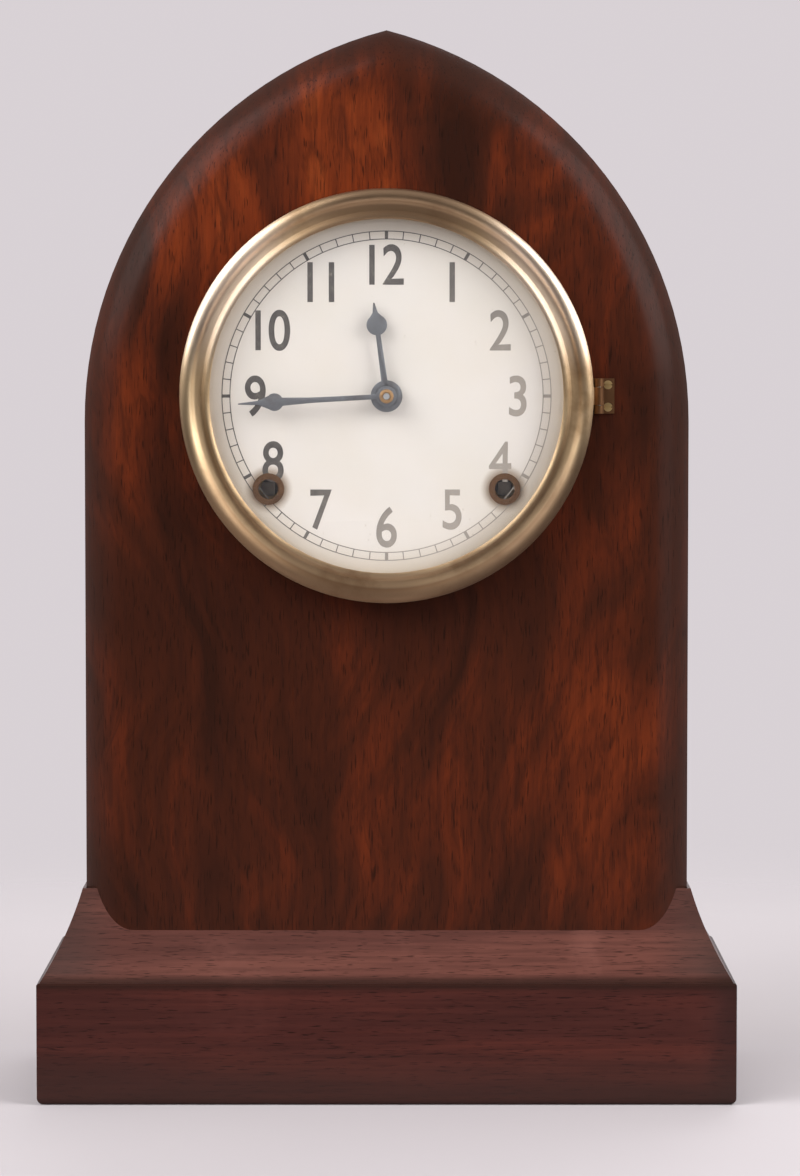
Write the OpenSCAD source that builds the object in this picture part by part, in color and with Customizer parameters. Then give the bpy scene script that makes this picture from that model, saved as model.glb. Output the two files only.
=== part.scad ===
// Pointed mantel clock with a thumb-moulded front, a bevelled base, a hinged
// bezel with domed glass, and an eight-day pendulum movement that strikes on
// a coiled gong. Z is up, the dial faces -Y, and the clock stands on z = 0.

/* [Case] */
// Height of the whole clock
total_h = 368; // [366:1:374]
// Depth from the front board's face to the back board's back
case_d = 108; // [107:1:114]
// Radius of each side of the pointed arch
arch_r = 138.4; // [136:0.2:142]
// Thickness of the front board
board_t = 16; // [15:0.5:17]
// Width of the rounded edge of the front board
edge_w = 17; // [15:0.5:18]
// How far the rounded edge falls back from the face
edge_drop = 10; // [8:0.5:11]
// Thickness of the bent sides
side_t = 5; // [4:0.5:6]
// Thickness of the back board
back_t = 8; // [7.5:0.5:9]
// Thickness of the floor board
floor_t = 10; // [8:0.5:11]
// Leg of the triangular glue blocks
block_leg = 14; // [10:1:16]
// Length of a glue block behind the front board
cross_block = 44; // [36:2:48]

/* [Base] */
// Width over the plinth
base_w = 240; // [238:1:244]
// How far the plinth stands out beyond the case at each side
base_out = 16; // [14:0.5:18]
// Height of the plinth
plinth_h = 42; // [38:1:44]
// Thickness of the plinth rails
rail_t = 22; // [18:1:24]
// Radius of the eased lower edge of the plinth
foot_round = 2.5; // [1:0.5:4]
// How far the plinth stands in front of the board
plinth_proud = 10; // [8:0.5:12]
// Height of the bevelled moulding at the sides
moulding_h = 31; // [26:1:34]
// Reveal between the moulding's foot and the plinth's edge
moulding_reveal = 1; // [0.5:0.5:2]
// Thickness of the moulding at its top
moulding_lip = 1; // [0.6:0.2:2]
// Hollow of the bevelled face, at its middle
moulding_hollow = 1.2; // [0.4:0.2:2.4]

/* [Back door] */
// Width of the door opening, and twice the radius of its round top
door_w = 120; // [112:1:124]
// Height of the opening's lower edge
door_z0 = 75; // [72:1:80]
// Height at which the opening's round top starts
door_spring = 235; // [225:1:238]
// Thickness of the door
door_t = 6; // [5:0.5:7]
// Gap round the door
door_gap = 0.5; // [0.3:0.1:0.8]
// Height of the door knob and the turn button
latch_z = 155; // [135:1:165]
// How far the knob stands out behind
knob_reach = 9.6; // [8:0.2:12]
// Radius of the knob
knob_r = 5.5; // [4.5:0.5:6.5]
// Length of the turn button
button_len = 22; // [20:1:24]
// Heights of the two hinges
door_hinge_z = [112, 205];
// Half the length of a door hinge
door_hinge_half = 12; // [10:1:15]

/* [Dial and bezel] */
// How far the dial's centre lies below the clock's apex
dial_drop = 125; // [122:1:126]
// Radius of the opening in the front board
opening_r = 60; // [59:0.5:60.5]
// Radius of the dial plate
dial_r = 63.5; // [62.5:0.1:63.6]
// Thickness of the dial plate
dial_t = 1.2; // [0.8:0.1:1.4]
// Outer radius of the bezel
bezel_r = 70.5; // [70:0.1:71.5]
// Inner radius of the bezel's lip
bezel_in = 60.2; // [59.5:0.1:61]
// Rise of the domed glass
glass_rise = 8; // [6:0.5:10]
// Thickness of the glass
glass_t = 1.6; // [1.2:0.1:1.8]
// Radius of a winding hole
winding_hole_r = 3.4; // [3.2:0.1:3.8]

/* [Hands] */
// Hour that the hands show
show_hour = 11; // [0:1:11]
// Minutes that the hands show
show_minute = 44.5; // [0:0.5:59.5]
// Length of the hour hand
hour_len = 32; // [28:0.5:36]
// Length of the minute hand
minute_len = 50.5; // [46:0.5:52]
// Thickness of each hand
hand_t = 0.8; // [0.6:0.1:1]

/* [Movement] */
// Distance between the two winding arbors
arbor_span = 80.6; // [80:0.1:81.4]
// How far the winding arbors lie below the dial's centre
arbor_drop = 31.7; // [31:0.1:32.4]
// Height of the escape wheel above the dial's centre
escape_y = 41; // [40.6:0.1:41.4]
// Length of the mounting posts between board and front plate
post_len = 3; // [2.6:0.2:4]
// Thickness of each plate
plate_t = 1.6; // [1.4:0.1:1.8]
// Clear distance between the plates
plate_gap = 38; // [37.8:0.2:40]
// Radius of the pivots
pivot_r = 0.8; // [0.7:0.05:0.9]
// Radial clearance of a running fit
fit = 0.05; // [0.03:0.01:0.08]
// Length of the pendulum
pendulum_len = 155; // [150:1:156]
// Radius of the pendulum bob
bob_r = 18; // [15:0.5:20]
// Thickness of the pendulum bob
bob_t = 9; // [7:0.5:10]
// Outer radius of a mainspring
spring_out = 24; // [20:0.5:25]
// Turns of a mainspring
spring_turns = 9; // [6:1:10]
// Width of a mainspring
spring_w = 19; // [17:0.5:19.5]

/* [Gong] */
// Height of the gong's centre
gong_z = 100; // [98:1:104]
// Radius of the gong's outer turn
gong_r = 38; // [35:0.5:39]
// Radius of the gong wire
wire_r = 1.6; // [1.2:0.1:1.8]
// Turns of the gong
gong_turns = 4.5; // [3.5:0.5:5]

/* [Hidden] */
$fn = 96;

// Case places
case_w = base_w - 2 * base_out;
half_w = case_w / 2;
arch_off = arch_r - half_w;
arch_rise = sqrt(arch_r * arch_r - arch_off * arch_off);
spring_z = total_h - arch_rise;
dial_z = total_h - dial_drop;
bezel_back = 1;
glass_rim_r = bezel_in + 2.8;
glass_rim_z = 7.6;
glass_sphere = (glass_rim_r * glass_rim_r + glass_rise * glass_rise) / (2 * glass_rise);
dome_reach = glass_rim_z + glass_rise;
face_y = -(case_d + knob_reach - dome_reach) / 2;
board_back = face_y + board_t;
case_back = face_y + case_d;
plinth_y = face_y - plinth_proud;
mould_y = plinth_y + base_out;
moulding_out = base_out - moulding_reveal;
floor_top = plinth_h + floor_t;
edge_r = (edge_w * edge_w + edge_drop * edge_drop) / (2 * edge_drop);
arris = 0.6;
block_gap = 8;

// Hinge and latch places
pin_r = 0.9;
barrel_r = 1.8;
leaf_t = 0.8;
leaf_w = 12;
knuckle = 4;
knuckle_gap = 0.2;
door_hinge_x = door_w / 2 - door_gap / 2;
door_hinge_y = case_back + barrel_r;
button_x = -door_w / 2 - 8;
knob_x = -door_w / 2 + 14;
button_t = 3;
slide_gap = 0.15;

// Dial places, measured forward from the board's face
pan_t = 0.8;
grommet_wall = 1;
collar_r = dial_r + 0.5;
collar_t = 0.8;
dial_face = pan_t + dial_t;
bezel_hinge_x = bezel_r + 2;
bezel_pin_r = 0.7;
bezel_barrel = 1.7;
bezel_hinge_h = pan_t + knuckle_gap + bezel_barrel;
bezel_knuckle = 3;
bezel_hinge_half = 6;
hour_level = dial_face + 2.4;
minute_level = hour_level + 2.4;
nut_t = 1.7;

// Movement places. Depths count back from the rear face of the front plate.
movement_d = board_t + post_len + plate_t;
arbor_r = 1.5;
fine_r = 1;
winding_r = 3;
square_w = 4.2;
square_len = 10;
square_end = 5;
centre = [0, 0];
great_t = [arbor_span / 2, -arbor_drop];
great_s = [-arbor_span / 2, -arbor_drop];
escape = [0, escape_y];
anchor_up = 14.7;
anchor = [0, escape_y + anchor_up];

// Wheel counts and modules
great_n = 72;
great_m = 0.72;
lantern_n = 8;
small_n = 7;
second_n = 48;
centre_n = 36;
second_m = 0.6;
drive_n = 80;
drive_m = 0.5;
third_n = 84;
third_m = 0.45;
escape_n = 38;
escape_r = 12;
s2_n = 64;
s2_m = 0.55;
s3_n = 60;
s3_m = 0.5;
s4_n = 56;
s4_m = 0.45;
motion_m = 0.6;
cannon_n = 10;
minute_n = 30;
pinion_n = 8;
hour_n = 32;

// Centre distance of a pair, and the place where two distances meet
function apart(a, b, m) = m * (a + b) / 2;
function meet(p, rp, q, rq) =
    let (d = norm(q - p), a = (rp * rp - rq * rq + d * d) / (2 * d),
         h = sqrt(rp * rp - a * a), u = (q - p) / d)
    p + a * u + h * [-u.y, u.x];
function polar(r, a) = [r * cos(a), r * sin(a)];
function bearing(p, q) = atan2(q.y - p.y, q.x - p.x);

great_gap = apart(great_n, lantern_n, great_m);
second = meet(centre, apart(second_n, centre_n, second_m), great_t, great_gap);
third = meet(escape, apart(third_n, small_n, third_m),
             centre, apart(drive_n, lantern_n, drive_m));
s2 = great_s + polar(great_gap, 80);
s3 = s2 + polar(apart(s2_n, lantern_n, s2_m), 70);
s4 = s3 + polar(apart(s3_n, small_n, s3_m), 80);
fly_at = s4 + polar(apart(s4_n, small_n, s4_m), 100);
hammer_at = [-14, -20];
motion_gap = apart(minute_n, cannon_n, motion_m);
stud = polar(motion_gap, -60);
stud_r = 1.2;
fine_pivots = [second, third, escape, anchor, s2, s3, s4, fly_at, hammer_at];

// Levels between the plates
great_l = [4, 6.5];
ratchet_l = [7, 9];
first_lantern_l = [3, 8];
second_l = [11, 12.2];
drive_l = [28, 29];
third_l = [18, 19];
escape_l = [33, 34];
pin_wheel_l = [22, 23.2];
warning_l = [30, 31];
fly_l = [10, 26];
fly_w = 21;
fly_t = 0.5;
spring_l = 14;
plate_w = 54;
plate_top = 66;
plate_foot = -60;
plate_corner = 6;
// Windows of the plates, each as a corner and a size
plate_windows = [[[22, 14], [24, 30]], [[-9, -50], [18, 22]]];
pillar_r = 2.5;
pillar_end_r = 1.4;
pillars_at = [[-46, 58], [46, 58], [-12, -55], [12, -55]];
posts_at = [[-50, 50], [50, 50], [-50, -50], [50, -50]];
post_r = 4;
screw_r = 1.6;

// Motion work levels, measured forward from the front plate
cannon_l = [0.8, 3.4];
minute_l = [1.4, 2.6];
pinion_top = 8.2;
hour_l = [4.5, 5.7];
pipe_r = 2.4;

// Ratchet and click. The beak lies square to the tooth that it holds.
ratchet_n = 12;
ratchet_r = 8;
ratchet_in = 6;
click_face = 95;
click_pivot = polar(13.5, 28);
click_pin_r = 1.2;
click_hub_r = 2.4;

// Escapement: the pallets span seven and a half teeth
pallet_half = 7.5 * 360 / escape_n / 2;
pallet_gap = 0.15;

// Pendulum and hammer, behind the back plate
pendulum_d = 47.4;
bob_y = anchor.y - pendulum_len;
rod_r = 1;
crutch_l = [41, 42.2];
crutch_y = 25;
hammer_rod_d = 55.9;
hammer_head_r = 4.5;
hammer_head_l = [54.9, 67.4];
strike_gap = 0.5;
cock_w = 5;
cock_half = 3.4;
suspension_t = 0.3;
suspension_slot = 0.8;
pin_circle = 11;
lift_pin_r = 0.6;

// Gong
gong_d = 63.4;
gong_c = [0, gong_z - dial_z];
gong_first_r = 14;
gong_bend_r = 5;
gong_block = 6;
gong_step = 15;
hammer_bearing = 125;

// Outline of the case seen from the front, drawn in by inset
module case_outline(inset, bottom) {
    half = half_w - inset;
    translate([-half, bottom]) square([2 * half, spring_z - bottom]);
    intersection() {
        translate([arch_off, spring_z]) circle(arch_r - inset);
        translate([-arch_off, spring_z]) circle(arch_r - inset);
        translate([-half, spring_z]) square([2 * half, arch_rise]);
    }
}

// Upright slab between two depths behind the board's face
module slab(d0, d1)
    translate([0, face_y + d1, 0]) rotate([90, 0, 0]) linear_extrude(d1 - d0) children();

// Straight lengths whose section is drawn as outset and height
module strip_x(y, half)
    translate([half, y, 0]) rotate([90, 0, -90]) linear_extrude(2 * half) children();
module strip_y(x, y0, y1)
    translate([x, y1, 0]) rotate([90, 0, 0]) linear_extrude(y1 - y0) children();
module both_sides() {
    children();
    mirror([1, 0, 0]) children();
}

// Plan of what the corner mitres leave, for a front and a side length
module front_mitre(cx, cy, reach)
    polygon([[-cx - reach, cy - reach], [cx + reach, cy - reach],
             [cx - reach, cy + reach], [-cx + reach, cy + reach]]);
module side_mitre(cx, cy, reach)
    polygon([[cx + reach, cy - reach], [cx + reach, case_back],
             [cx - reach, case_back], [cx - reach, cy + reach]]);

// Places given in the dial's own frame: x right, y up, z forward
module dial_frame() translate([0, face_y, dial_z]) rotate([90, 0, 0]) children();
module at(p) translate([p.x, p.y, 0]) children();
module forward(h0, h1) translate([0, 0, h0]) linear_extrude(h1 - h0) children();
module between(l) translate([0, 0, -movement_d - l[1]]) linear_extrude(l[1] - l[0]) children();
module motion(l)
    translate([0, 0, plate_t - movement_d + l[0]]) linear_extrude(l[1] - l[0]) children();
module upright(x, z, y0, y1, r)
    translate([x, y0, z]) rotate([-90, 0, 0]) cylinder(h = y1 - y0, r = r);

// Rounded edge of the front board as steps of outset and drop
edge_steps = 12;
edge_sweep = asin(edge_w / edge_r);
thumb = [for (i = [0:edge_steps]) let (a = edge_sweep * i / edge_steps)
         [edge_r * sin(a) - edge_w, edge_r * (1 - cos(a))]];

module board_plan()
    polygon(concat([[0, face_y]],
                   [for (p = thumb) [half_w + p.x, face_y + p.y]],
                   [[half_w, board_back], [0, board_back]]));

module board_half() {
    translate([0, 0, plinth_h]) linear_extrude(spring_z - plinth_h) board_plan();
    intersection() {
        translate([-arch_off, face_y, spring_z]) rotate([-90, 0, 0])
            rotate_extrude()
                polygon(concat([[0, 0]], [for (p = thumb) [arch_r + p.x, p.y]],
                               [[arch_r, board_t], [0, board_t]]));
        translate([0, face_y - 1, spring_z]) cube([half_w + 1, board_t + 2, arch_rise + 1]);
    }
}

module front_board() color("saddlebrown") difference() {
    both_sides() board_half();
    dial_frame() forward(-board_t - 1, 1) circle(opening_r);
    pan_screws();
    bezel_leaf_screws();
    post_screws();
}

module side_shell(x0) slab(board_t, case_d - back_t) intersection() {
    difference() {
        case_outline(0, plinth_h);
        case_outline(side_t, plinth_h - 1);
    }
    translate([x0, plinth_h]) square([half_w, total_h]);
}
module left_side() color("sienna") side_shell(-half_w);
module right_side() color("sienna") side_shell(0);

module door_outline(inset) {
    half = door_w / 2 - inset;
    translate([-half, door_z0 + inset]) square([2 * half, door_spring - door_z0 - inset]);
    intersection() {
        translate([0, door_spring]) circle(half);
        translate([-half, door_spring]) square([2 * half, half]);
    }
}

module back_board() color("burlywood") difference() {
    slab(case_d - back_t, case_d) difference() {
        case_outline(0, plinth_h);
        door_outline(0);
    }
    button_screw();
    leaf_screws();
}

module case_floor() color("tan") difference() {
    translate([-half_w + side_t, board_back, plinth_h])
        cube([case_w - 2 * side_t, case_d - board_t - back_t, floor_t]);
    stand_screws();
}

module glue_blocks() color("wheat") {
    section = [[0, floor_top], [-block_leg, floor_top], [0, floor_top + block_leg]];
    both_sides() {
        strip_y(half_w - side_t, board_back + block_leg + block_gap,
                case_back - back_t - block_gap) polygon(section);
        translate([half_w - side_t - block_leg - block_gap - cross_block / 2, 0, 0])
            strip_x(board_back, cross_block / 2) polygon(section);
    }
}

// Plinth rails, with the lower outside edge eased
rail_section = concat([[-rail_t, 0]],
    [for (a = [0:15:90]) [foot_round * (sin(a) - 1), foot_round * (1 - cos(a))]],
    [[0, plinth_h - arris], [-arris, plinth_h], [-rail_t, plinth_h]]);

module plinth_front() color("maroon") intersection() {
    strip_x(plinth_y, base_w / 2) polygon(rail_section);
    linear_extrude(plinth_h) front_mitre(base_w / 2, plinth_y, rail_t + 1);
}
module plinth_sides() color("maroon") both_sides() intersection() {
    strip_y(base_w / 2, plinth_y, case_back) polygon(rail_section);
    linear_extrude(plinth_h) side_mitre(base_w / 2, plinth_y, rail_t + 1);
}
module plinth_back() color("tan")
    translate([-base_w / 2 + rail_t, case_back - rail_t, 0])
        cube([base_w - 2 * rail_t, rail_t, plinth_h]);

// Bevelled moulding with a slightly hollow face
moulding_chord = norm([moulding_out - moulding_lip, moulding_h]);
moulding_section = concat([[0, plinth_h]],
    [for (t = [0:1/8:1]) let (dip = 4 * moulding_hollow * t * (1 - t) / moulding_chord)
        [moulding_out + (moulding_lip - moulding_out) * t - dip * moulding_h,
         plinth_h + moulding_h * t - dip * (moulding_out - moulding_lip)]],
    [[0, plinth_h + moulding_h]]);

module front_moulding() color("rosybrown") difference() {
    intersection() {
        strip_x(mould_y, half_w + moulding_out) polygon(moulding_section);
        translate([0, 0, plinth_h]) linear_extrude(moulding_h)
            front_mitre(half_w, mould_y, moulding_out + 1);
    }
    translate([0, 0, plinth_h - 1]) linear_extrude(moulding_h + 2) both_sides() board_plan();
}
module side_mouldings() color("rosybrown") both_sides() intersection() {
    strip_y(half_w, mould_y - moulding_out, case_back) polygon(moulding_section);
    translate([0, 0, plinth_h]) linear_extrude(moulding_h)
        side_mitre(half_w, mould_y, moulding_out + 1);
}

// Back door with its knob, hinges and turn button
module knob_solid() translate([knob_x, case_back, latch_z]) rotate([-90, 0, 0])
    rotate_extrude() polygon([[0, -door_t + 1], [1.8, -door_t + 1], [1.8, 0],
        [0.6 * knob_r, 0], [0.6 * knob_r, 1], [0.4 * knob_r, 2.4],
        [0.4 * knob_r, 0.45 * knob_reach], [0.8 * knob_r, 0.58 * knob_reach],
        [knob_r, 0.74 * knob_reach], [0.92 * knob_r, 0.88 * knob_reach],
        [0.6 * knob_r, knob_reach], [0, knob_reach]]);

module back_door() color("burlywood") difference() {
    slab(case_d - door_t, case_d) door_outline(door_gap);
    knob_solid();
}
module door_knob() color("darkgoldenrod") knob_solid();

module knuckle_at(z0, z1, r) translate([door_hinge_x, door_hinge_y, z0])
    cylinder(h = z1 - z0, r = r);

// One half of a door hinge: leaf on side s, barrel parts at the given heights
module door_leaf(s, z, spans, bore) difference() {
    union() {
        translate([door_hinge_x + (s > 0 ? barrel_r + 0.4 : -leaf_w), case_back,
                   z - door_hinge_half])
            cube([leaf_w - barrel_r - 0.4, leaf_t, 2 * door_hinge_half]);
        for (span = spans) {
            knuckle_at(z + span[0], z + span[1], barrel_r);
            translate([door_hinge_x + (s > 0 ? 0 : -barrel_r - 1), case_back, z + span[0]])
                cube([barrel_r + 1, leaf_t, span[1] - span[0]]);
        }
    }
    knuckle_at(z - door_hinge_half - 1, z + door_hinge_half + 1, bore);
}
module door_hinge_leaves() color("goldenrod") difference() {
    for (z = door_hinge_z)
        door_leaf(1, z, [[-door_hinge_half, -knuckle - knuckle_gap],
                         [knuckle + knuckle_gap, door_hinge_half]], pin_r);
    leaf_screws();
}
module door_hinge_flaps() color("goldenrod") for (z = door_hinge_z)
    door_leaf(-1, z, [[-knuckle, knuckle]], pin_r + fit);
module door_hinge_pins() color("silver") for (z = door_hinge_z) {
    knuckle_at(z - door_hinge_half, z + door_hinge_half, pin_r);
    knuckle_at(z + door_hinge_half, z + door_hinge_half + leaf_t, 1.5 * pin_r);
}

module door_button() color("darkgoldenrod")
    slab(case_d + slide_gap, case_d + slide_gap + button_t) difference() {
        translate([button_x, latch_z]) {
            square([7, button_len - 7], center = true);
            for (s = [-1, 1]) translate([0, s * (button_len - 7) / 2]) circle(3.5);
        }
        translate([button_x, latch_z]) circle(screw_r + fit);
    }

// Screws. The holes that they sit in are cut with the same shapes.
module countersunk(head, shank, len) {
    translate([0, 0, -len]) cylinder(h = len, r = shank);
    translate([0, 0, shank - head]) cylinder(h = head - shank, r1 = shank, r2 = head);
}
module pan_screws() dial_frame() for (a = [45:90:315])
    at(polar(opening_r + 6.6, a)) translate([0, 0, pan_t]) countersunk(2, 1, 8);
module bezel_leaf_screws() dial_frame() for (s = [-1, 1])
    at([bezel_hinge_x + 3.2, s * (bezel_hinge_half - 2.2)]) translate([0, 0, leaf_t]) countersunk(1.5, 0.8, 7);
module leaf_screws() for (z = door_hinge_z, s = [-1, 1])
    translate([door_hinge_x + 8, case_back + leaf_t, z + 7 * s]) rotate([-90, 0, 0])
        countersunk(1.8, 0.9, 6);
module button_screw() {
    head_y = case_back + slide_gap + button_t + slide_gap;
    upright(button_x, latch_z, case_back - 6, head_y, screw_r);
    upright(button_x, latch_z, head_y, head_y + 1.4, 2 * screw_r);
}
module stand_screws() for (x = [-11, 11])
    translate([x, gong_y + 3, floor_top + stand_t]) countersunk(2.4, 1.2, 9);
module case_screws() color("darkkhaki") {
    pan_screws();
    bezel_leaf_screws();
    leaf_screws();
    button_screw();
    stand_screws();
}

// Dial and bezel
module dial_pan() color("goldenrod") difference() {
    dial_frame() {
        forward(0, pan_t) difference() {
            circle(bezel_r - 1.5);
            circle(opening_r - 2);
        }
        forward(pan_t, pan_t + 2.4) difference() {
            circle(collar_r + collar_t);
            circle(collar_r);
        }
    }
    pan_screws();
}
module dial_plate() color("ivory") dial_frame() forward(pan_t, dial_face) difference() {
    circle(dial_r);
    circle(pipe_r + 1.6);
    for (p = [great_t, great_s]) translate(p) circle(winding_hole_r + grommet_wall);
}
module dial_grommets() color("goldenrod") dial_frame() for (p = [great_t, great_s]) at(p) {
    forward(pan_t, dial_face) difference() {
        circle(winding_hole_r + grommet_wall);
        circle(winding_hole_r);
    }
    forward(dial_face, dial_face + 0.5) difference() {
        circle(winding_hole_r + 2 * grommet_wall);
        circle(winding_hole_r);
    }
}

// Height of the glass over the board at a radius, for its outer or inner skin
function dome(r, sphere) =
    glass_rim_z + glass_rise - glass_sphere + sqrt(sphere * sphere - r * r);
glass_seat = dome(glass_rim_r, glass_sphere - glass_t);
rebate_r = collar_r + collar_t + 0.4;
lip_under = dome(bezel_in, glass_sphere) + 0.3;
bezel_top = glass_rim_z + 2.8;

module bezel_section() polygon(concat(
    [[bezel_in, lip_under]],
    [for (a = [180:-30:0]) [bezel_in + 1 + cos(a), bezel_top - 1 + sin(a)]],
    [[bezel_in + 2.8, bezel_top - 1.6], [rebate_r - 0.3, bezel_top - 1.6]],
    [for (a = [150:-15:0])
        [bezel_r - 2.5 + 2.5 * cos(a), bezel_top - 2.5 + 2.5 * sin(a)]],
    [[bezel_r, bezel_back], [rebate_r, bezel_back], [rebate_r, glass_seat],
     [glass_rim_r + 0.1, glass_seat], [glass_rim_r + 0.1, glass_rim_z + 0.3]]));

module bezel() color("gold") dial_frame() difference() {
    union() {
        rotate_extrude($fn = 180) bezel_section();
        bezel_barrel_at(-bezel_knuckle, bezel_knuckle, bezel_barrel);
        translate([bezel_r - 0.8, -bezel_knuckle, bezel_hinge_h - 0.8])
            cube([2.8, 2 * bezel_knuckle, 1.8]);
    }
    bezel_barrel_at(-bezel_knuckle - 1, bezel_knuckle + 1, bezel_pin_r + fit);
}
module bezel_barrel_at(y0, y1, r)
    translate([bezel_hinge_x, y0, bezel_hinge_h]) rotate([-90, 0, 0])
        cylinder(h = y1 - y0, r = r);

module glass() color("lightcyan", 0.4) dial_frame() intersection() {
    translate([0, 0, glass_rim_z + glass_rise - glass_sphere]) difference() {
        sphere(glass_sphere, $fn = 180);
        sphere(glass_sphere - glass_t, $fn = 180);
    }
    forward(0, dome_reach + 1) circle(glass_rim_r);
}
module glass_ring() color("goldenrod") dial_frame() forward(glass_seat - 0.7, glass_seat)
    difference() {
        circle(rebate_r - 0.1);
        circle(bezel_in + 0.8);
    }

module bezel_hinge_leaf() color("gold") difference() {
    dial_frame() difference() {
        union() {
            translate([bezel_hinge_x - 1, -bezel_hinge_half, 0])
                cube([6.4, 2 * bezel_hinge_half, leaf_t]);
            for (s = [0, 1]) mirror([0, s, 0]) {
                bezel_barrel_at(bezel_knuckle + knuckle_gap, bezel_hinge_half, bezel_barrel);
                translate([bezel_hinge_x - 0.4, bezel_knuckle + knuckle_gap, 0])
                    cube([2.1, bezel_hinge_half - bezel_knuckle - knuckle_gap, bezel_hinge_h]);
            }
        }
        bezel_barrel_at(-bezel_hinge_half - 1, bezel_hinge_half + 1, bezel_pin_r);
    }
    bezel_leaf_screws();
}
module bezel_hinge_pin() color("silver") dial_frame()
    bezel_barrel_at(-bezel_hinge_half, bezel_hinge_half, bezel_pin_r);

// Hands, drawn pointing to twelve
hour_hub_r = 5.4;
hour_lobe_r = 3.5;
hour_spade = 7.6;
hour_root = 1.1;
minute_hub_r = 3.4;
minute_lobe_r = 3;
minute_spade = 12.4;
minute_root = 0.8;
// Point of a spade hand: barbs beside the lobe, a waist, and a narrow tip
module spade_tip(len, barb_at, barb, waist_at)
    polygon([[-barb, len - barb_at], [0, len - barb_at - barb], [barb, len - barb_at],
             [0.3 * barb, len - waist_at], [0.08 * barb, len], [-0.08 * barb, len],
             [-0.3 * barb, len - waist_at]]);
module hour_shape() difference() {
    union() {
        circle(hour_hub_r);
        polygon([[-hour_root, pipe_r], [hour_root, pipe_r],
                 [0.7 * hour_root, hour_len - hour_spade],
                 [-0.7 * hour_root, hour_len - hour_spade]]);
        translate([0, hour_len - hour_spade]) circle(hour_lobe_r);
        spade_tip(hour_len, 0.78 * hour_spade, 0.86 * hour_lobe_r, 0.45 * hour_spade);
    }
    circle(pipe_r);
}
module minute_shape() difference() {
    union() {
        circle(minute_hub_r);
        polygon([[-minute_root, hand_seat_r], [minute_root, hand_seat_r],
                 [1.15 * minute_root, 0.5 * minute_len],
                 [1.9 * minute_root, minute_len - minute_spade],
                 [-1.9 * minute_root, minute_len - minute_spade],
                 [-1.15 * minute_root, 0.5 * minute_len]]);
        translate([0, minute_len - minute_spade]) circle(minute_lobe_r);
        spade_tip(minute_len, 0.9 * minute_spade, 0.86 * minute_lobe_r, 0.56 * minute_spade);
    }
    circle(hand_seat_r);
}
hand_seat_r = 1.1;
minute_angle = 6 * show_minute;
hour_angle = 30 * (show_hour + show_minute / 60);
module hour_hand() color("dimgray") dial_frame() rotate([0, 0, -hour_angle])
    forward(hour_level, hour_level + hand_t) hour_shape();
module minute_hand() color("dimgray") dial_frame() rotate([0, 0, -minute_angle])
    forward(minute_level, minute_level + hand_t) minute_shape();
module hand_nut() color("gold") dial_frame()
    forward(minute_level + hand_t, minute_level + hand_t + nut_t) difference() {
        circle(2.4);
        circle(hand_seat_r);
    }

// Tooth form: flanks on the pitch circle, a rounded tip, a clear root
function teeth(n, m, phase, width, add, root, mid, tip) =
    let (rp = m * n / 2, h = width * 180 / n)
    [for (i = [0:n - 1], k = [[rp - root * m, -h], [rp, -h], [rp + add * m / 2, -h * mid],
                              [rp + add * m, -h * tip], [rp + add * m, h * tip],
                              [rp + add * m / 2, h * mid], [rp, h], [rp - root * m, h]])
        polar(k[0], phase + 360 * i / n + k[1])];
module wheel_teeth(n, m, phase) polygon(teeth(n, m, phase, 0.42, 0.85, 1, 0.75, 0.3));
module leaf_teeth(n, m, phase) polygon(teeth(n, m, phase, 0.38, 0.55, 1.15, 0.8, 0.4));

// Wheel with a rim, four arms and a hub
module spoked(n, m, phase, hub, arm = 2.4, rim = 2.2) difference() {
    wheel_teeth(n, m, phase);
    difference() {
        circle(m * n / 2 - m - rim);
        circle(hub);
        for (a = [phase, phase + 90]) rotate(a) square([m * n, arm], center = true);
    }
}
// Pinion of round pins between two end discs
module lantern(n, m, phase, l) {
    trundle = 0.21 * PI * m;
    shroud = m * n / 2 + trundle + 0.3;
    between([l[0], l[0] + 0.8]) circle(shroud);
    between([l[1] - 0.8, l[1]]) circle(shroud);
    for (i = [0:n - 1]) at(polar(m * n / 2, phase + 360 * i / n))
        between([l[0] + 0.8, l[1] - 0.8]) circle(trundle);
}
module arbor(r) {
    between([0.4, plate_gap - 0.4]) circle(r);
    between([-plate_t - 0.2, 0.4]) circle(pivot_r);
    between([plate_gap - 0.4, plate_gap + plate_t + 0.2]) circle(pivot_r);
}

// Plates, pillars and what fastens them
module plate_outline() difference() {
    union() {
        translate([-plate_w, plate_foot + plate_corner])
            square([2 * plate_w, plate_top - plate_foot - 2 * plate_corner]);
        translate([plate_corner - plate_w, plate_foot])
            square([2 * (plate_w - plate_corner), plate_top - plate_foot]);
        for (x = [-1, 1], y = [plate_foot + plate_corner, plate_top - plate_corner])
            translate([x * (plate_w - plate_corner), y]) circle(plate_corner);
    }
    for (window = plate_windows) translate(window[0]) square(window[1]);
    for (p = fine_pivots) translate(p) circle(pivot_r + fit);
    for (p = pillars_at) translate(p) circle(pillar_end_r);
}
module front_plate() color("darkgoldenrod") difference() {
    dial_frame() {
        between([-plate_t, 0]) difference() {
            plate_outline();
            circle(arbor_r + fit);
            for (p = [great_t, great_s]) translate(p) circle(winding_r + fit);
        }
        at(stud) motion([0, pinion_top + 0.4]) circle(stud_r);
    }
    post_screws();
}
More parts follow.
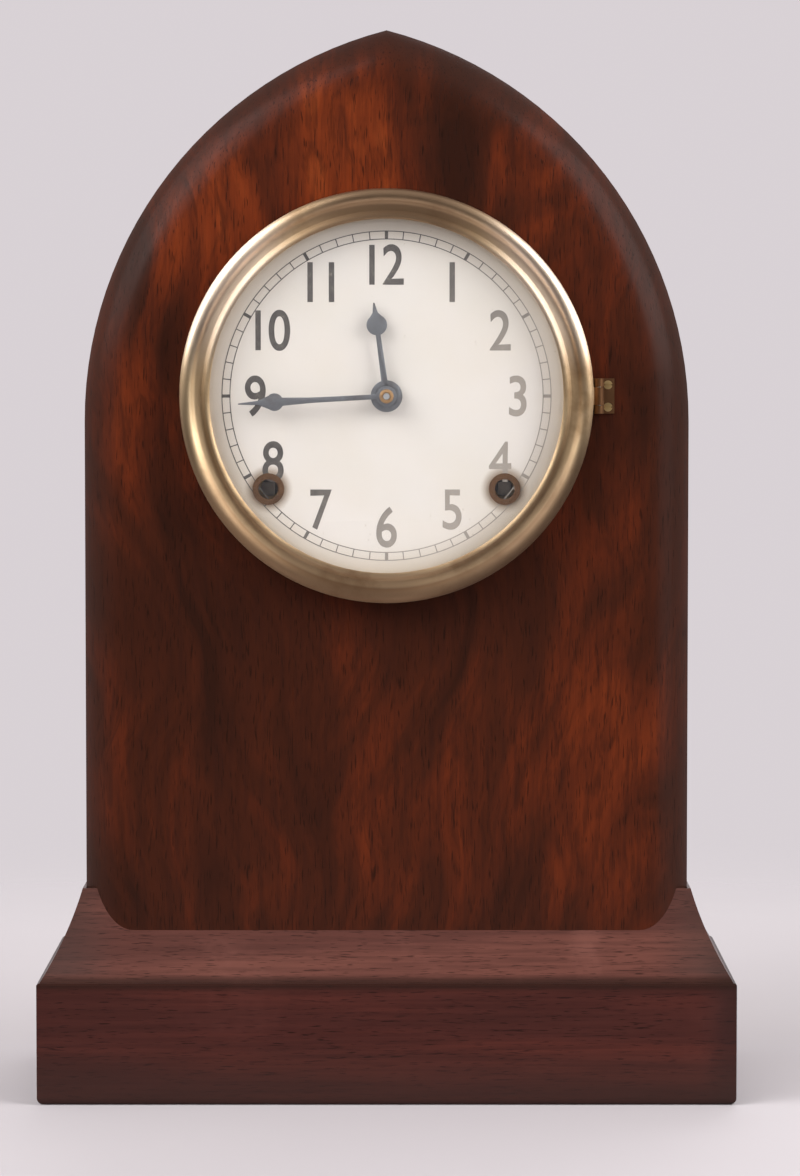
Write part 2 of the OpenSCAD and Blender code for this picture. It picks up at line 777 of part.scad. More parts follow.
module back_plate() color("darkgoldenrod") dial_frame() {
    between([plate_gap, plate_gap + plate_t]) difference() {
        plate_outline();
        circle(pivot_r + fit);
        for (p = [great_t, great_s]) translate(p) circle(arbor_r + fit);
    }
    // Cock that holds the suspension spring in its slot
    cock_l = [plate_gap + plate_t, pendulum_d - cock_half, pendulum_d + cock_half];
    at([0, anchor.y + 5.8]) between([cock_l[0], cock_l[1]]) square([cock_w, 3], center = true);
    at([0, anchor.y + 4.3]) between([cock_l[1], cock_l[2]]) difference() {
        square([cock_w, 6], center = true);
        translate([-suspension_slot / 2, -4]) square([suspension_slot, 4.2]);
    }
}
module pillars() color("darkgoldenrod") dial_frame() for (p = pillars_at) at(p) {
    between([0, plate_gap]) circle(pillar_r);
    between([-plate_t - 1.8, plate_gap + plate_t + 1.8]) circle(pillar_end_r);
}
module mounting_posts() color("darkgoldenrod") difference() {
    dial_frame() for (p = posts_at) at(p) motion([0, post_len]) circle(post_r);
    post_screws();
}
module post_screws() dial_frame() for (p = posts_at) at(p) {
    between([-plate_t - post_len - 10, 0]) circle(screw_r);
    between([0, 1.4]) circle(2 * screw_r);
}
module movement_fasteners() color("slategray") {
    post_screws();
    dial_frame() for (p = pillars_at, l = [[-plate_t - 1.6, -plate_t],
                                         [plate_gap + plate_t, plate_gap + plate_t + 1.6]])
        at(p) between(l) difference() {
            circle(3, $fn = 6);
            circle(pillar_end_r);
        }
}

// Time train
module time_great_wheel() color("gold") dial_frame() great_wheel(great_t, second);
module strike_great_wheel() color("gold") dial_frame() great_wheel(great_s, s2);
module great_wheel(p, mate) at(p) {
    between(great_l) difference() {
        spoked(great_n, great_m, bearing(p, mate) + 180 / great_n, 17, 5, 3);
        circle(winding_r + fit);
    }
    at(click_pivot) between([great_l[1], ratchet_l[1] + 0.6]) circle(click_pin_r);
}
module first_pinion(p, mate) lantern(lantern_n, great_m, bearing(p, mate), first_lantern_l);

module time_second_wheel() color("gold") dial_frame() at(second) {
    arbor(arbor_r);
    first_pinion(second, great_t);
    between(second_l) spoked(second_n, second_m, bearing(second, centre), 4);
}
module centre_wheel() color("gold") dial_frame() difference() {
    union() {
        between([second_l[0] - 2, drive_l[1] + 2]) circle(2.2);
        between(second_l)
            spoked(centre_n, second_m, bearing(centre, second) + 180 / centre_n, 4);
        between(drive_l)
            spoked(drive_n, drive_m, bearing(centre, third) + 180 / drive_n, 4);
    }
    between([0, plate_gap]) circle(arbor_r + fit);
}
module centre_arbor() color("silver") dial_frame() {
    between([-plate_t - 0.4, plate_gap - 0.4]) circle(arbor_r);
    between([plate_gap - 0.4, plate_gap + plate_t + 0.2]) circle(pivot_r);
    motion(cannon_l) leaf_teeth(cannon_n, motion_m, bearing(centre, stud) + 180 / cannon_n);
    forward(-board_t - post_len, minute_level) circle(arbor_r);
    forward(minute_level, minute_level + hand_t + nut_t + 0.6) circle(hand_seat_r);
}
module third_wheel() color("gold") dial_frame() at(third) {
    arbor(fine_r);
    lantern(lantern_n, drive_m, bearing(third, centre), [drive_l[0] - 2, drive_l[1] + 2]);
    between(third_l) spoked(third_n, third_m, bearing(third, escape) + 180 / third_n, 3);
}
module escape_wheel() color("gold") dial_frame() at(escape) {
    arbor(fine_r);
    lantern(small_n, third_m, bearing(escape, third), [third_l[0] - 2, third_l[1] + 2]);
    between(escape_l) difference() {
        escape_teeth();
        difference() {
            circle(escape_r - 4.2);
            circle(2.6);
            for (a = [0, 90]) rotate(a) square([2 * escape_r, 1.8], center = true);
        }
    }
}
module escape_teeth() {
    pitch = 360 / escape_n;
    phase = 90 - pallet_half - pitch / 4;
    polygon([for (i = [0:escape_n - 1], k = [[escape_r - 2.4, -0.3], [escape_r, -0.06],
                                            [escape_r, 0.06], [escape_r - 2.4, 0.12]])
        polar(k[0], phase + (i + k[1]) * pitch)]);
}

// Anchor: two pallets on bars, an arbor, and the crutch that leads the rod
module pallet() {
    reach = escape_r + pallet_gap;
    a = 90 - pallet_half;
    foot = [0, -anchor_up];
    polygon([foot + polar(reach, a - 0.86), foot + polar(reach + 1.4, a - 2.5),
             foot + polar(reach + 3, a - 2.5), foot + polar(reach + 3, a + 2.5),
             foot + polar(reach + 1.4, a + 2.5), foot + polar(reach, a + 0.86)]);
    knee = foot + polar(reach + 2.2, a);
    rotate(atan2(knee.y, knee.x)) translate([0, -0.7]) square([norm(knee), 1.4]);
}
module pallet_anchor() color("steelblue") dial_frame() at(anchor) {
    arbor(fine_r);
    between([escape_l[0] - 1.5, escape_l[1] + 1.5]) union() {
        circle(1.9);
        pallet();
        mirror([1, 0]) pallet();
    }
    between([plate_gap, crutch_l[1]]) circle(pivot_r);
    drop = anchor.y - crutch_y;
    between(crutch_l) {
        circle(1.6);
        translate([-0.6, -drop]) square([1.2, drop]);
        translate([-2.2, -drop]) square([4.4, 1.4]);
    }
    for (x = [-2.2, rod_r + 0.3]) translate([x, -drop, 0])
        between([crutch_l[1], pendulum_d + 2.6]) square([0.9, 1.4]);
}

// Pendulum
module on_rod(y0, y1, r) translate([0, y0, -movement_d - pendulum_d]) rotate([-90, 0, 0])
    cylinder(h = y1 - y0, r = r);
nut_top = bob_y - bob_r - 0.3;
chops_y = anchor.y - 11;
module pendulum_rod() color("silver") dial_frame() {
    on_rod(nut_top - 8, chops_y, rod_r);
    at([0, chops_y]) between([pendulum_d - 2.8, pendulum_d + 2.8]) difference() {
        translate([-1.5, 0]) square([3, 6]);
        translate([-suspension_t / 2, 1.5]) square([suspension_t, 5]);
    }
}
module suspension_spring() color("lightsteelblue") dial_frame()
    translate([-suspension_t / 2, chops_y + 1.5, 0])
        between([pendulum_d - 2.5, pendulum_d + 2.5]) square([suspension_t, 12.5]);
// Lens between two spheres, with a narrow rim
bob_rim = 1.2;
bob_dish = (bob_t - bob_rim) / 2;
bob_sphere = (bob_r * bob_r + bob_dish * bob_dish) / (2 * bob_dish);
module pendulum_bob() color("gold") dial_frame() difference() {
    translate([0, bob_y, -movement_d - pendulum_d]) intersection() {
        translate([0, 0, bob_t / 2 - bob_sphere]) sphere(bob_sphere, $fn = 180);
        translate([0, 0, bob_sphere - bob_t / 2]) sphere(bob_sphere, $fn = 180);
        cylinder(h = bob_t + 2, r = bob_r, center = true);
    }
    on_rod(bob_y - 2 * bob_r, bob_y + 2 * bob_r, rod_r + fit);
}
module rating_nut() color("gold") dial_frame() difference() {
    on_rod(nut_top - 3.5, nut_top, 3.5);
    on_rod(nut_top - 5, nut_top + 1, rod_r);
}

// Motion work
module minute_wheel() color("gold") dial_frame() at(stud) difference() {
    union() {
        motion(minute_l) wheel_teeth(minute_n, motion_m, bearing(stud, centre));
        motion([minute_l[1], pinion_top])
            leaf_teeth(pinion_n, motion_m, bearing(stud, centre) + 180 / pinion_n);
    }
    motion([0, pinion_top + 1]) circle(stud_r + fit);
}
module hour_wheel() color("gold") dial_frame() difference() {
    union() {
        motion(hour_l) wheel_teeth(hour_n, motion_m, bearing(centre, stud));
        forward(-board_t - post_len + hour_l[0], hour_level + hand_t) circle(pipe_r);
    }
    forward(-movement_d, hour_level + hand_t + 1) circle(arbor_r + 2 * fit);
}

// Winding work and mainsprings
ratchet_points = [for (i = [0:ratchet_n - 1], k = [[ratchet_in, -0.2], [ratchet_r, 0]])
    polar(k[0], click_face + 360 * i / ratchet_n + k[1])];
module winding_arbor(p) at(p) {
    forward(-square_end - square_len, -square_end) square(square_w, center = true);
    shoulder = movement_d - square_end - square_len;
    between([-shoulder, plate_gap - 1.4]) circle(winding_r);
    between([plate_gap - 1.4, plate_gap + plate_t + 0.2]) circle(arbor_r);
    between(ratchet_l) polygon(ratchet_points);
}
module time_winding_arbor() color("silver") dial_frame() winding_arbor(great_t);
module strike_winding_arbor() color("silver") dial_frame() winding_arbor(great_s);

module click(p) at(p) between(ratchet_l) difference() {
    union() {
        at(click_pivot) circle(click_hub_r);
        polygon([polar(ratchet_in + 0.3, click_face - 1.5),
                 polar(ratchet_r + 0.5, click_face - 360 / ratchet_n - 1),
                 click_pivot + polar(click_hub_r - 0.2, 190),
                 click_pivot + polar(click_hub_r - 0.2, 120),
                 polar(ratchet_r + 0.8, click_face - 1.5)]);
    }
    at(click_pivot) circle(click_pin_r + fit);
}
module time_click() color("steelblue") dial_frame() click(great_t);
module strike_click() color("steelblue") dial_frame() click(great_s);

// Flat spring wound outward to a tail that loops the nearest pillar
spring_t = 0.5;
spring_in = winding_r + 0.7;
spring_loop = pillar_r + 0.4;
loop_at = pillars_at[3] - great_t;
tail_end = atan2(loop_at.y, loop_at.x) + acos(spring_out / norm(loop_at));
function spiral(out) = [for (i = [0:24 * spring_turns]) let (t = i / (24 * spring_turns))
    polar(spring_in + (spring_out - spring_in) * t + out,
          tail_end + 360 * spring_turns * (1 - t))];
function reversed(v) = [for (i = [len(v) - 1:-1:0]) v[i]];
module mainspring() at(great_t) between([spring_l, spring_l + spring_w]) {
    polygon(concat(spiral(0), reversed(spiral(-spring_t))));
    start = polar(spring_out, tail_end);
    run = loop_at - start;
    difference() {
        union() {
            translate(start) rotate(atan2(run.y, run.x)) translate([-0.4, -spring_t])
                square([norm(run) + 0.4, spring_t]);
            translate(loop_at) circle(spring_loop + spring_t);
        }
        translate(loop_at) circle(spring_loop);
    }
}
module mainsprings() color("slategray") dial_frame() both_sides() mainspring();

// Strike train
module strike_second_wheel() color("gold") dial_frame() at(s2) {
    arbor(arbor_r);
    first_pinion(s2, great_s);
    between(second_l) spoked(s2_n, s2_m, bearing(s2, s3) + 180 / s2_n, 4);
}
module pin_wheel() color("gold") dial_frame() at(s3) {
    arbor(fine_r);
    lantern(lantern_n, s2_m, bearing(s3, s2), [second_l[0] - 2, second_l[1] + 2]);
    between(pin_wheel_l) spoked(s3_n, s3_m, bearing(s3, s4) + 180 / s3_n, 3, 2.4, 3);
    for (a = [0:36:324]) at(polar(pin_circle, a))
        between([pin_wheel_l[1], pin_wheel_l[1] + 3.3]) circle(lift_pin_r);
}
module warning_wheel() color("gold") dial_frame() at(s4) {
    arbor(fine_r);
    lantern(small_n, s3_m, bearing(s4, s3), [pin_wheel_l[0] - 1.5, pin_wheel_l[1] + 1.8]);
    between(warning_l) spoked(s4_n, s4_m, bearing(s4, fly_at) + 180 / s4_n, 3);
    at([0, 10]) between([warning_l[1], warning_l[1] + 2.5]) circle(0.6);
}
module fly() color("gold") dial_frame() at(fly_at) {
    arbor(fine_r);
    lantern(small_n, s4_m, bearing(fly_at, s4), [warning_l[0] - 2, warning_l[1] + 2]);
    between([fly_l[0] - 1, fly_l[1] + 1]) circle(1.6);
    between(fly_l) rotate(20) square([fly_w, fly_t], center = true);
}

// Hammer: a tail short of the lifting pins, and a rod down to the gong
function gong_radius(t) = gong_first_r + (gong_r - gong_first_r) * t / gong_turns;
strike_turn = floor(gong_turns - hammer_bearing / 360) + hammer_bearing / 360;
head_at = gong_c + polar(gong_radius(strike_turn) + wire_r + hammer_head_r + strike_gap,
                         hammer_bearing);
module hammer() color("slategray") dial_frame() {
    to_pins = s3 - hammer_at;
    tail = norm(to_pins) - pin_circle - lift_pin_r - 0.4;
    drop = head_at - hammer_at;
    at(hammer_at) {
        arbor(1.2);
        between([plate_gap, hammer_rod_d + 1.5]) circle(pivot_r);
        between([pin_wheel_l[1] + 0.8, pin_wheel_l[1] + 2.8]) rotate(atan2(to_pins.y, to_pins.x))
            translate([0, -1]) square([tail, 2]);
        translate([0, 0, -movement_d - hammer_rod_d]) {
            translate([0, 0, -1.5]) cylinder(h = 3, r = 2.2);
            rotate([0, 0, atan2(drop.y, drop.x)]) rotate([0, 90, 0])
                cylinder(h = norm(drop), r = 1);
        }
    }
    at(head_at) between(hammer_head_l) circle(hammer_head_r);
}

// Gong: one unbroken wire, from the block on its stand out through its turns
gong_y = face_y + movement_d + gong_d;
stand_t = 3;
stand_w = 32;
stand_d = 22;
stand_front = 8;
column_r = 3;
column_y = gong_y + stand_front + column_r - 2;
gong_start = atan2(gong_bend_r, gong_first_r);
gong_path = concat(
    [[gong_block, 0], [gong_first_r - gong_bend_r, 0]],
    [for (a = [30:30:60]) [gong_first_r - gong_bend_r + gong_bend_r * sin(a),
                           gong_bend_r * (1 - cos(a))]],
    [for (a = [gong_start:gong_step:360 * gong_turns]) polar(gong_radius(a / 360), a)]);
gong_least = min([for (i = [0:len(gong_path) - 1], j = [0:len(gong_path) - 1])
    if (j > i + 180 / gong_step) norm(gong_path[i] - gong_path[j])]) - 2 * wire_r;
module wire(path, r, sides) {
    last = len(path) - 1;
    rings = [for (i = [0:last], k = [0:sides - 1])
        let (run = path[min(i + 1, last)] - path[max(i - 1, 0)],
             side = [run.y, -run.x] / norm(run), a = 360 * k / sides)
        [path[i].x + r * cos(a) * side.x, path[i].y + r * cos(a) * side.y, r * sin(a)]];
    walls = [for (i = [0:last - 1], k = [0:sides - 1])
        let (a = i * sides + k, b = i * sides + (k + 1) % sides)
        each [[a, b, b + sides], [a, b + sides, a + sides]]];
    ends = [for (k = [1:sides - 2]) each [[0, k + 1, k],
        [last * sides, last * sides + k, last * sides + k + 1]]];
    polyhedron(rings, concat(walls, ends));
}
module gong() color("dimgray") {
    echo(least_gap_between_gong_turns = gong_least);
    dial_frame() translate([gong_c.x, gong_c.y, -movement_d - gong_d])
        wire(gong_path, wire_r, 6);
}
module gong_stand() color("black") difference() {
    union() {
        translate([-stand_w / 2, gong_y - stand_front, floor_top])
            cube([stand_w, stand_d, stand_t]);
        translate([0, column_y, floor_top]) cylinder(h = gong_z - floor_top, r = column_r);
        translate([-gong_block, gong_y - column_r, gong_z - gong_block])
            cube([2 * gong_block, column_y - gong_y + 2 * column_r, 2 * gong_block]);
    }
    stand_screws();
}

front_board();
left_side();
right_side();
back_board();
case_floor();
glue_blocks();
plinth_front();
plinth_sides();
plinth_back();
front_moulding();
side_mouldings();
back_door();
door_hinge_leaves();
door_hinge_flaps();
door_hinge_pins();
door_button();
door_knob();
case_screws();
dial_pan();
dial_plate();
dial_grommets();
bezel();
glass();
glass_ring();
bezel_hinge_leaf();
bezel_hinge_pin();
hour_hand();
minute_hand();
hand_nut();
centre_arbor();
minute_wheel();
hour_wheel();
front_plate();
back_plate();
pillars();
mounting_posts();
movement_fasteners();
time_great_wheel();
time_second_wheel();
centre_wheel();
third_wheel();
escape_wheel();
pallet_anchor();
pendulum_rod();
pendulum_bob();
rating_nut();
suspension_spring();
time_winding_arbor();
time_click();
mainsprings();
strike_great_wheel();
strike_second_wheel();
pin_wheel();
warning_wheel();
fly();
hammer();
strike_winding_arbor();
strike_click();
gong();
gong_stand();
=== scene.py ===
# Looks of a pointed mahogany mantel clock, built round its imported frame
import math

import bpy
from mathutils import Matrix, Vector


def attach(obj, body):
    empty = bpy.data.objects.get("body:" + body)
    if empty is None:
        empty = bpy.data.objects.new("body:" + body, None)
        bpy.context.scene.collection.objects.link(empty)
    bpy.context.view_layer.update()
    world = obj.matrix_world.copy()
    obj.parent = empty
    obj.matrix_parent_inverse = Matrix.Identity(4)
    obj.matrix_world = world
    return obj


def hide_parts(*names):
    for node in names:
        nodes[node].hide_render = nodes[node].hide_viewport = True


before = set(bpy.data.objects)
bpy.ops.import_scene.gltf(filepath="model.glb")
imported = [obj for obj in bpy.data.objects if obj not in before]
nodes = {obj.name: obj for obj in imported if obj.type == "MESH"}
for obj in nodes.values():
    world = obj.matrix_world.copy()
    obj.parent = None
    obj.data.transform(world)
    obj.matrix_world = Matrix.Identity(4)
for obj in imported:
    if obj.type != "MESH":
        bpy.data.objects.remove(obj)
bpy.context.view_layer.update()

MM = 0.001

# Height of the dial's centre, in millimetres
DIAL_HEIGHT = 243

# Sizes and places of the part that the finishes follow, in metres
DIAL_Z = DIAL_HEIGHT * MM
FACE_Y = -51 * MM
DIAL_FACE = FACE_Y - 2.0 * MM
PLINTH_TOP = 42 * MM
BEZEL_R = 70.5 * MM
LIP_R = 65.8 * MM
ARCH_R = 138.4 * MM
HALF_WIDTH = 104 * MM
APEX_Z = 368 * MM
ARCH_SPRING = APEX_Z - math.sqrt(ARCH_R ** 2 - (ARCH_R - HALF_WIDTH) ** 2)

# Right winding hole from the dial's centre, in millimetres. The left one mirrors it
HOLE_X = 40.3
HOLE_Y = -31.7

scene = bpy.context.scene
scene.view_settings.view_transform = "Standard"


# Camera: a metre and a half off, a little above the dial's centre, looking slightly down
CAMERA_DISTANCE = 1.5
CAMERA_HEIGHT = 0.267
FRAME_HEIGHT = 0.4032
SENSOR = 24
look_at = Vector((4.6 * MM, FACE_Y, 177.2 * MM))
camera_data = bpy.data.cameras.new("camera")
camera_data.sensor_fit = "VERTICAL"
camera_data.sensor_height = SENSOR
camera = bpy.data.objects.new("camera", camera_data)
scene.collection.objects.link(camera)
camera.location = Vector((look_at.x, FACE_Y - CAMERA_DISTANCE, CAMERA_HEIGHT))
camera_data.lens = SENSOR * (look_at - camera.location).length / FRAME_HEIGHT
camera.rotation_euler = (look_at - camera.location).to_track_quat("-Z", "Y").to_euler()
scene.camera = camera


# Shader nodes, added and joined in code
class Nodes:
    """A node tree. Each method adds a node and returns its output."""

    def __init__(self, tree, coordinates):
        self.tree = tree
        self.tree.nodes.clear()
        self.place = self.node("ShaderNodeTexCoord").outputs[coordinates]

    def node(self, kind, **settings):
        made = self.tree.nodes.new(kind)
        for name, value in settings.items():
            setattr(made, name, value)
        return made

    def put(self, node, socket, value):
        """Links an output to a socket, or sets the socket to a plain value."""
        target = node.inputs[socket]
        if isinstance(value, bpy.types.NodeSocket):
            self.tree.links.new(value, target)
        else:
            target.default_value = value

    def moved(self, scale=(1, 1, 1), shift=(0, 0, 0), vector=None):
        mapping = self.node("ShaderNodeMapping")
        self.put(mapping, "Vector", vector or self.place)
        mapping.inputs["Location"].default_value = shift
        mapping.inputs["Scale"].default_value = scale
        return mapping.outputs["Vector"]

    def noise(self, vector, scale=1.0, detail=3.0, rough=0.5, distort=0.0):
        made = self.node("ShaderNodeTexNoise")
        self.put(made, "Vector", vector)
        self.put(made, "Scale", scale)
        self.put(made, "Detail", detail)
        self.put(made, "Roughness", rough)
        self.put(made, "Distortion", distort)
        return made.outputs["Fac"]

    def turned(self, radius, per_metre):
        """Fine rings, as a lathe leaves them."""
        made = self.node("ShaderNodeTexNoise", noise_dimensions="1D")
        self.put(made, "W", self.math("MULTIPLY", radius, per_metre))
        self.put(made, "Scale", 1.0)
        return made.outputs["Fac"]

    def math(self, kind, *values):
        made = self.node("ShaderNodeMath", operation=kind)
        for index, value in enumerate(values):
            self.put(made, index, value)
        return made.outputs[0]

    def between(self, value, low, high, out_low=0.0, out_high=1.0):
        made = self.node("ShaderNodeMapRange", interpolation_type="SMOOTHSTEP")
        self.put(made, "Value", value)
        self.put(made, "From Min", low)
        self.put(made, "From Max", high)
        self.put(made, "To Min", out_low)
        self.put(made, "To Max", out_high)
        return made.outputs["Result"]

    def ramp(self, value, stops):
        made = self.node("ShaderNodeValToRGB")
        self.put(made, "Fac", value)
        elements = made.color_ramp.elements
        while len(elements) < len(stops):
            elements.new(0.5)
        for element, (position, colour) in zip(elements, stops):
            element.position = position
            element.color = (*colour, 1.0)
        return made.outputs["Color"]

    def mix(self, factor, a, b):
        made = self.node("ShaderNodeMix", data_type="RGBA")
        self.put(made, 0, factor)
        self.put(made, 6, a if not isinstance(a, tuple) else (*a, 1.0))
        self.put(made, 7, b if not isinstance(b, tuple) else (*b, 1.0))
        return made.outputs[2]

    def axes(self):
        """The place along x, y and z."""
        made = self.node("ShaderNodeSeparateXYZ")
        self.put(made, 0, self.place)
        return made.outputs[:3]

    def joined(self, x, y, z):
        made = self.node("ShaderNodeCombineXYZ")
        for index, value in enumerate((x, y, z)):
            self.put(made, index, value)
        return made.outputs[0]

    def length(self, vector):
        """How long a vector is."""
        made = self.node("ShaderNodeVectorMath", operation="LENGTH")
        self.put(made, 0, vector)
        return made.outputs["Value"]

    def either(self, factor, first, second):
        """One shader or the other, by a factor from 0 to 1."""
        made = self.node("ShaderNodeMixShader")
        for index, value in enumerate((factor, first, second)):
            self.put(made, index, value)
        return made.outputs[0]


class Finish(Nodes):
    """The nodes of one material."""

    def __init__(self, name, **uniform):
        self.material = bpy.data.materials.new(name)
        self.material.use_nodes = True
        super().__init__(self.material.node_tree, "Object")
        self.output = self.node("ShaderNodeOutputMaterial")
        self.shader = self.node("ShaderNodeBsdfPrincipled")
        self.put(self.output, "Surface", self.shader.outputs["BSDF"])
        for socket, value in uniform.items():
            self.give(socket.replace("_", " "), value)

    def give(self, socket, value):
        self.put(self.shader, socket, value)

    def clear_where(self, factor):
        """Lets light straight through where the factor is 1."""
        clear = self.node("ShaderNodeBsdfTransparent").outputs["BSDF"]
        self.put(self.output, "Surface", self.either(factor, self.shader.outputs["BSDF"], clear))

    def radius(self, x, z):
        """Distance from the line through (x, z) that runs front to back."""
        return self.length(self.moved(shift=(-x, 0, -z), scale=(1, 0, 1)))

    def bump(self, *layers):
        """Bumps of (height, depth in metres), laid on each other."""
        normal = None
        for height, depth in layers:
            made = self.node("ShaderNodeBump")
            made.inputs["Strength"].default_value = 1.0
            made.inputs["Distance"].default_value = depth
            self.put(made, "Height", height)
            if normal is not None:
                self.put(made, "Normal", normal)
            normal = made.outputs["Normal"]
        self.give("Normal", normal)


def drawn_out(axis, across, along):
    """Scale of a pattern that is drawn out along the grain. An arch's grain follows its bend."""
    return {"x": (along, across, across), "y": (across, along, across),
            "z": (across, across, along), "arch": (along, across, along)}[axis]


# Darker tones on the mahogany of the base, by where they lie: painted shade at the right front
# corner and the moulding's ends, darker along the joint and towards the foot
CORNER_SHADE = (0.022, 0.011, 0.01)
MITRE_SHADE = (0.048, 0.03, 0.026)
JOINT_DARK = (0.02, 0.008, 0.005)
FOOT_DARK = (0.036, 0.017, 0.014)


def grimed(f, colour):
    """Painted shade on the right front corner and the moulding's ends; darker along the joint under
    the moulding and towards the foot.
    """
    x, y, z = f.axes()
    # Painted shade on the right front corner, the side turned away from the key lamp
    corner = f.math("MULTIPLY", f.between(x, 106 * MM, 118 * MM, 0.0, 0.55),
                    f.between(y, -45 * MM, -57 * MM))
    colour = f.mix(corner, colour, CORNER_SHADE)
    # Painted shade on the moulding's ends, where they turn round the corners
    mitre = f.math("MULTIPLY", f.between(f.math("ABSOLUTE", x), 88 * MM, 112 * MM, 0.0, 0.55),
                   f.between(z, PLINTH_TOP, PLINTH_TOP + 4 * MM))
    colour = f.mix(mitre, colour, MITRE_SHADE)
    # Darker along the joint under the moulding
    off_joint = f.math("ABSOLUTE", f.math("SUBTRACT", z, PLINTH_TOP))
    colour = f.mix(f.between(off_joint, 3.2 * MM, 0.6 * MM, 0.0, 0.75), colour, JOINT_DARK)
    # Darker towards the foot
    return f.mix(f.between(z, 26 * MM, 2 * MM, 0.0, 0.75), colour, FOOT_DARK)


def mahogany(name, axis, dark, middle, red, wear, base=True):
    """Varnished mahogany: ribbon, fine grain, pores, rubbed spots and an uneven gloss."""
    f = Finish(name, Coat_Weight=0.12, Coat_Roughness=0.2, Specular_IOR_Level=0.06)
    ribbon = f.noise(f.moved(drawn_out(axis, 60, 3.2)), 1.0, 4.0, 0.55, 0.6)
    grain = f.noise(f.moved(drawn_out(axis, 700, 22)), 1.0, 3.0, 0.6, 0.2)
    pores = f.noise(f.moved(drawn_out(axis, 2600, 190)), 1.0, 1.0, 0.5)
    colour = f.ramp(ribbon, [(0.28, dark), (0.5, middle), (0.74, red)])
    colour = f.mix(f.between(grain, 0.35, 0.7, 0.0, 0.55), colour, tuple(0.55 * c for c in middle))
    pore = f.between(pores, 0.6, 0.72)
    colour = f.mix(f.math("MULTIPLY", pore, 0.7), colour, tuple(0.22 * c for c in dark))
    # Rubbed spots of wear, lighter
    wear_and_highlight = f.between(f.noise(f.moved((26, 26, 26)), 1.0, 4.0, 0.6), 0.56, 0.75, 0.0, wear)
    colour = f.mix(wear_and_highlight, colour, tuple(1.9 * c + 0.02 for c in red))
    if base:
        # Base pieces: painted shade at the right corner and the moulding's ends, darker joint and
        # foot
        colour = grimed(f, colour)
    f.give("Base Color", colour)
    f.give("Roughness", f.between(grain, 0.2, 0.8, 0.3, 0.44))
    waves = f.noise(f.moved((90, 90, 90)), 1.0, 2.0)
    f.bump((pore, -0.03 * MM), (grain, 0.02 * MM), (waves, 0.08 * MM))
    return f.material


# Front veneer, from its darkest tone to its brightest, and what darkens it
VENEER_TONES = [
    (0.28, (0.026, 0.0085, 0.005)), (0.42, (0.05, 0.0125, 0.006)), (0.53, (0.088, 0.017, 0.0065)),
    (0.66, (0.155, 0.027, 0.0075)), (0.8, (0.25, 0.05, 0.012)),
]
VENEER_FEATHER = (0.03, 0.009, 0.005)
VENEER_GRAIN = (0.026, 0.008, 0.005)
VENEER_PORE = (0.012, 0.005, 0.003)
VENEER_RIM = (0.034, 0.016, 0.012)

# Broad streaks of the veneer: middle and half width in x, foot and head in z (mm), tone
STREAKS = [
    (-16, 34, 295, 358, 0.25), (-60, 22, 280, 330, 0.24), (29, 14, 290, 358, -0.12),
    (58, 32, 280, 335, 0.16), (-92, 14, 190, 300, 0.14), (-14, 14, 75, 190, 0.07),
    (-66, 34, 60, 175, -0.08), (74, 28, 60, 150, 0.14), (0, 60, 150, 180, -0.06),
]
STREAK_FADE = 18


def streaked(f, tone, across, up):
    """Lifts or lowers the tone inside each broad streak."""
    for middle, half, foot, head, shift in STREAKS:
        aside = f.math("ABSOLUTE", f.math("SUBTRACT", across, middle * MM))
        along = f.math("MULTIPLY",
                       f.between(up, (foot - STREAK_FADE) * MM, (foot + STREAK_FADE) * MM),
                       f.between(up, (head + STREAK_FADE) * MM, (head - STREAK_FADE) * MM))
        inside = f.math("MULTIPLY", f.between(aside, half * MM, 0.2 * half * MM), along)
        tone = f.math("MULTIPLY_ADD", inside, shift, tone)
    return tone


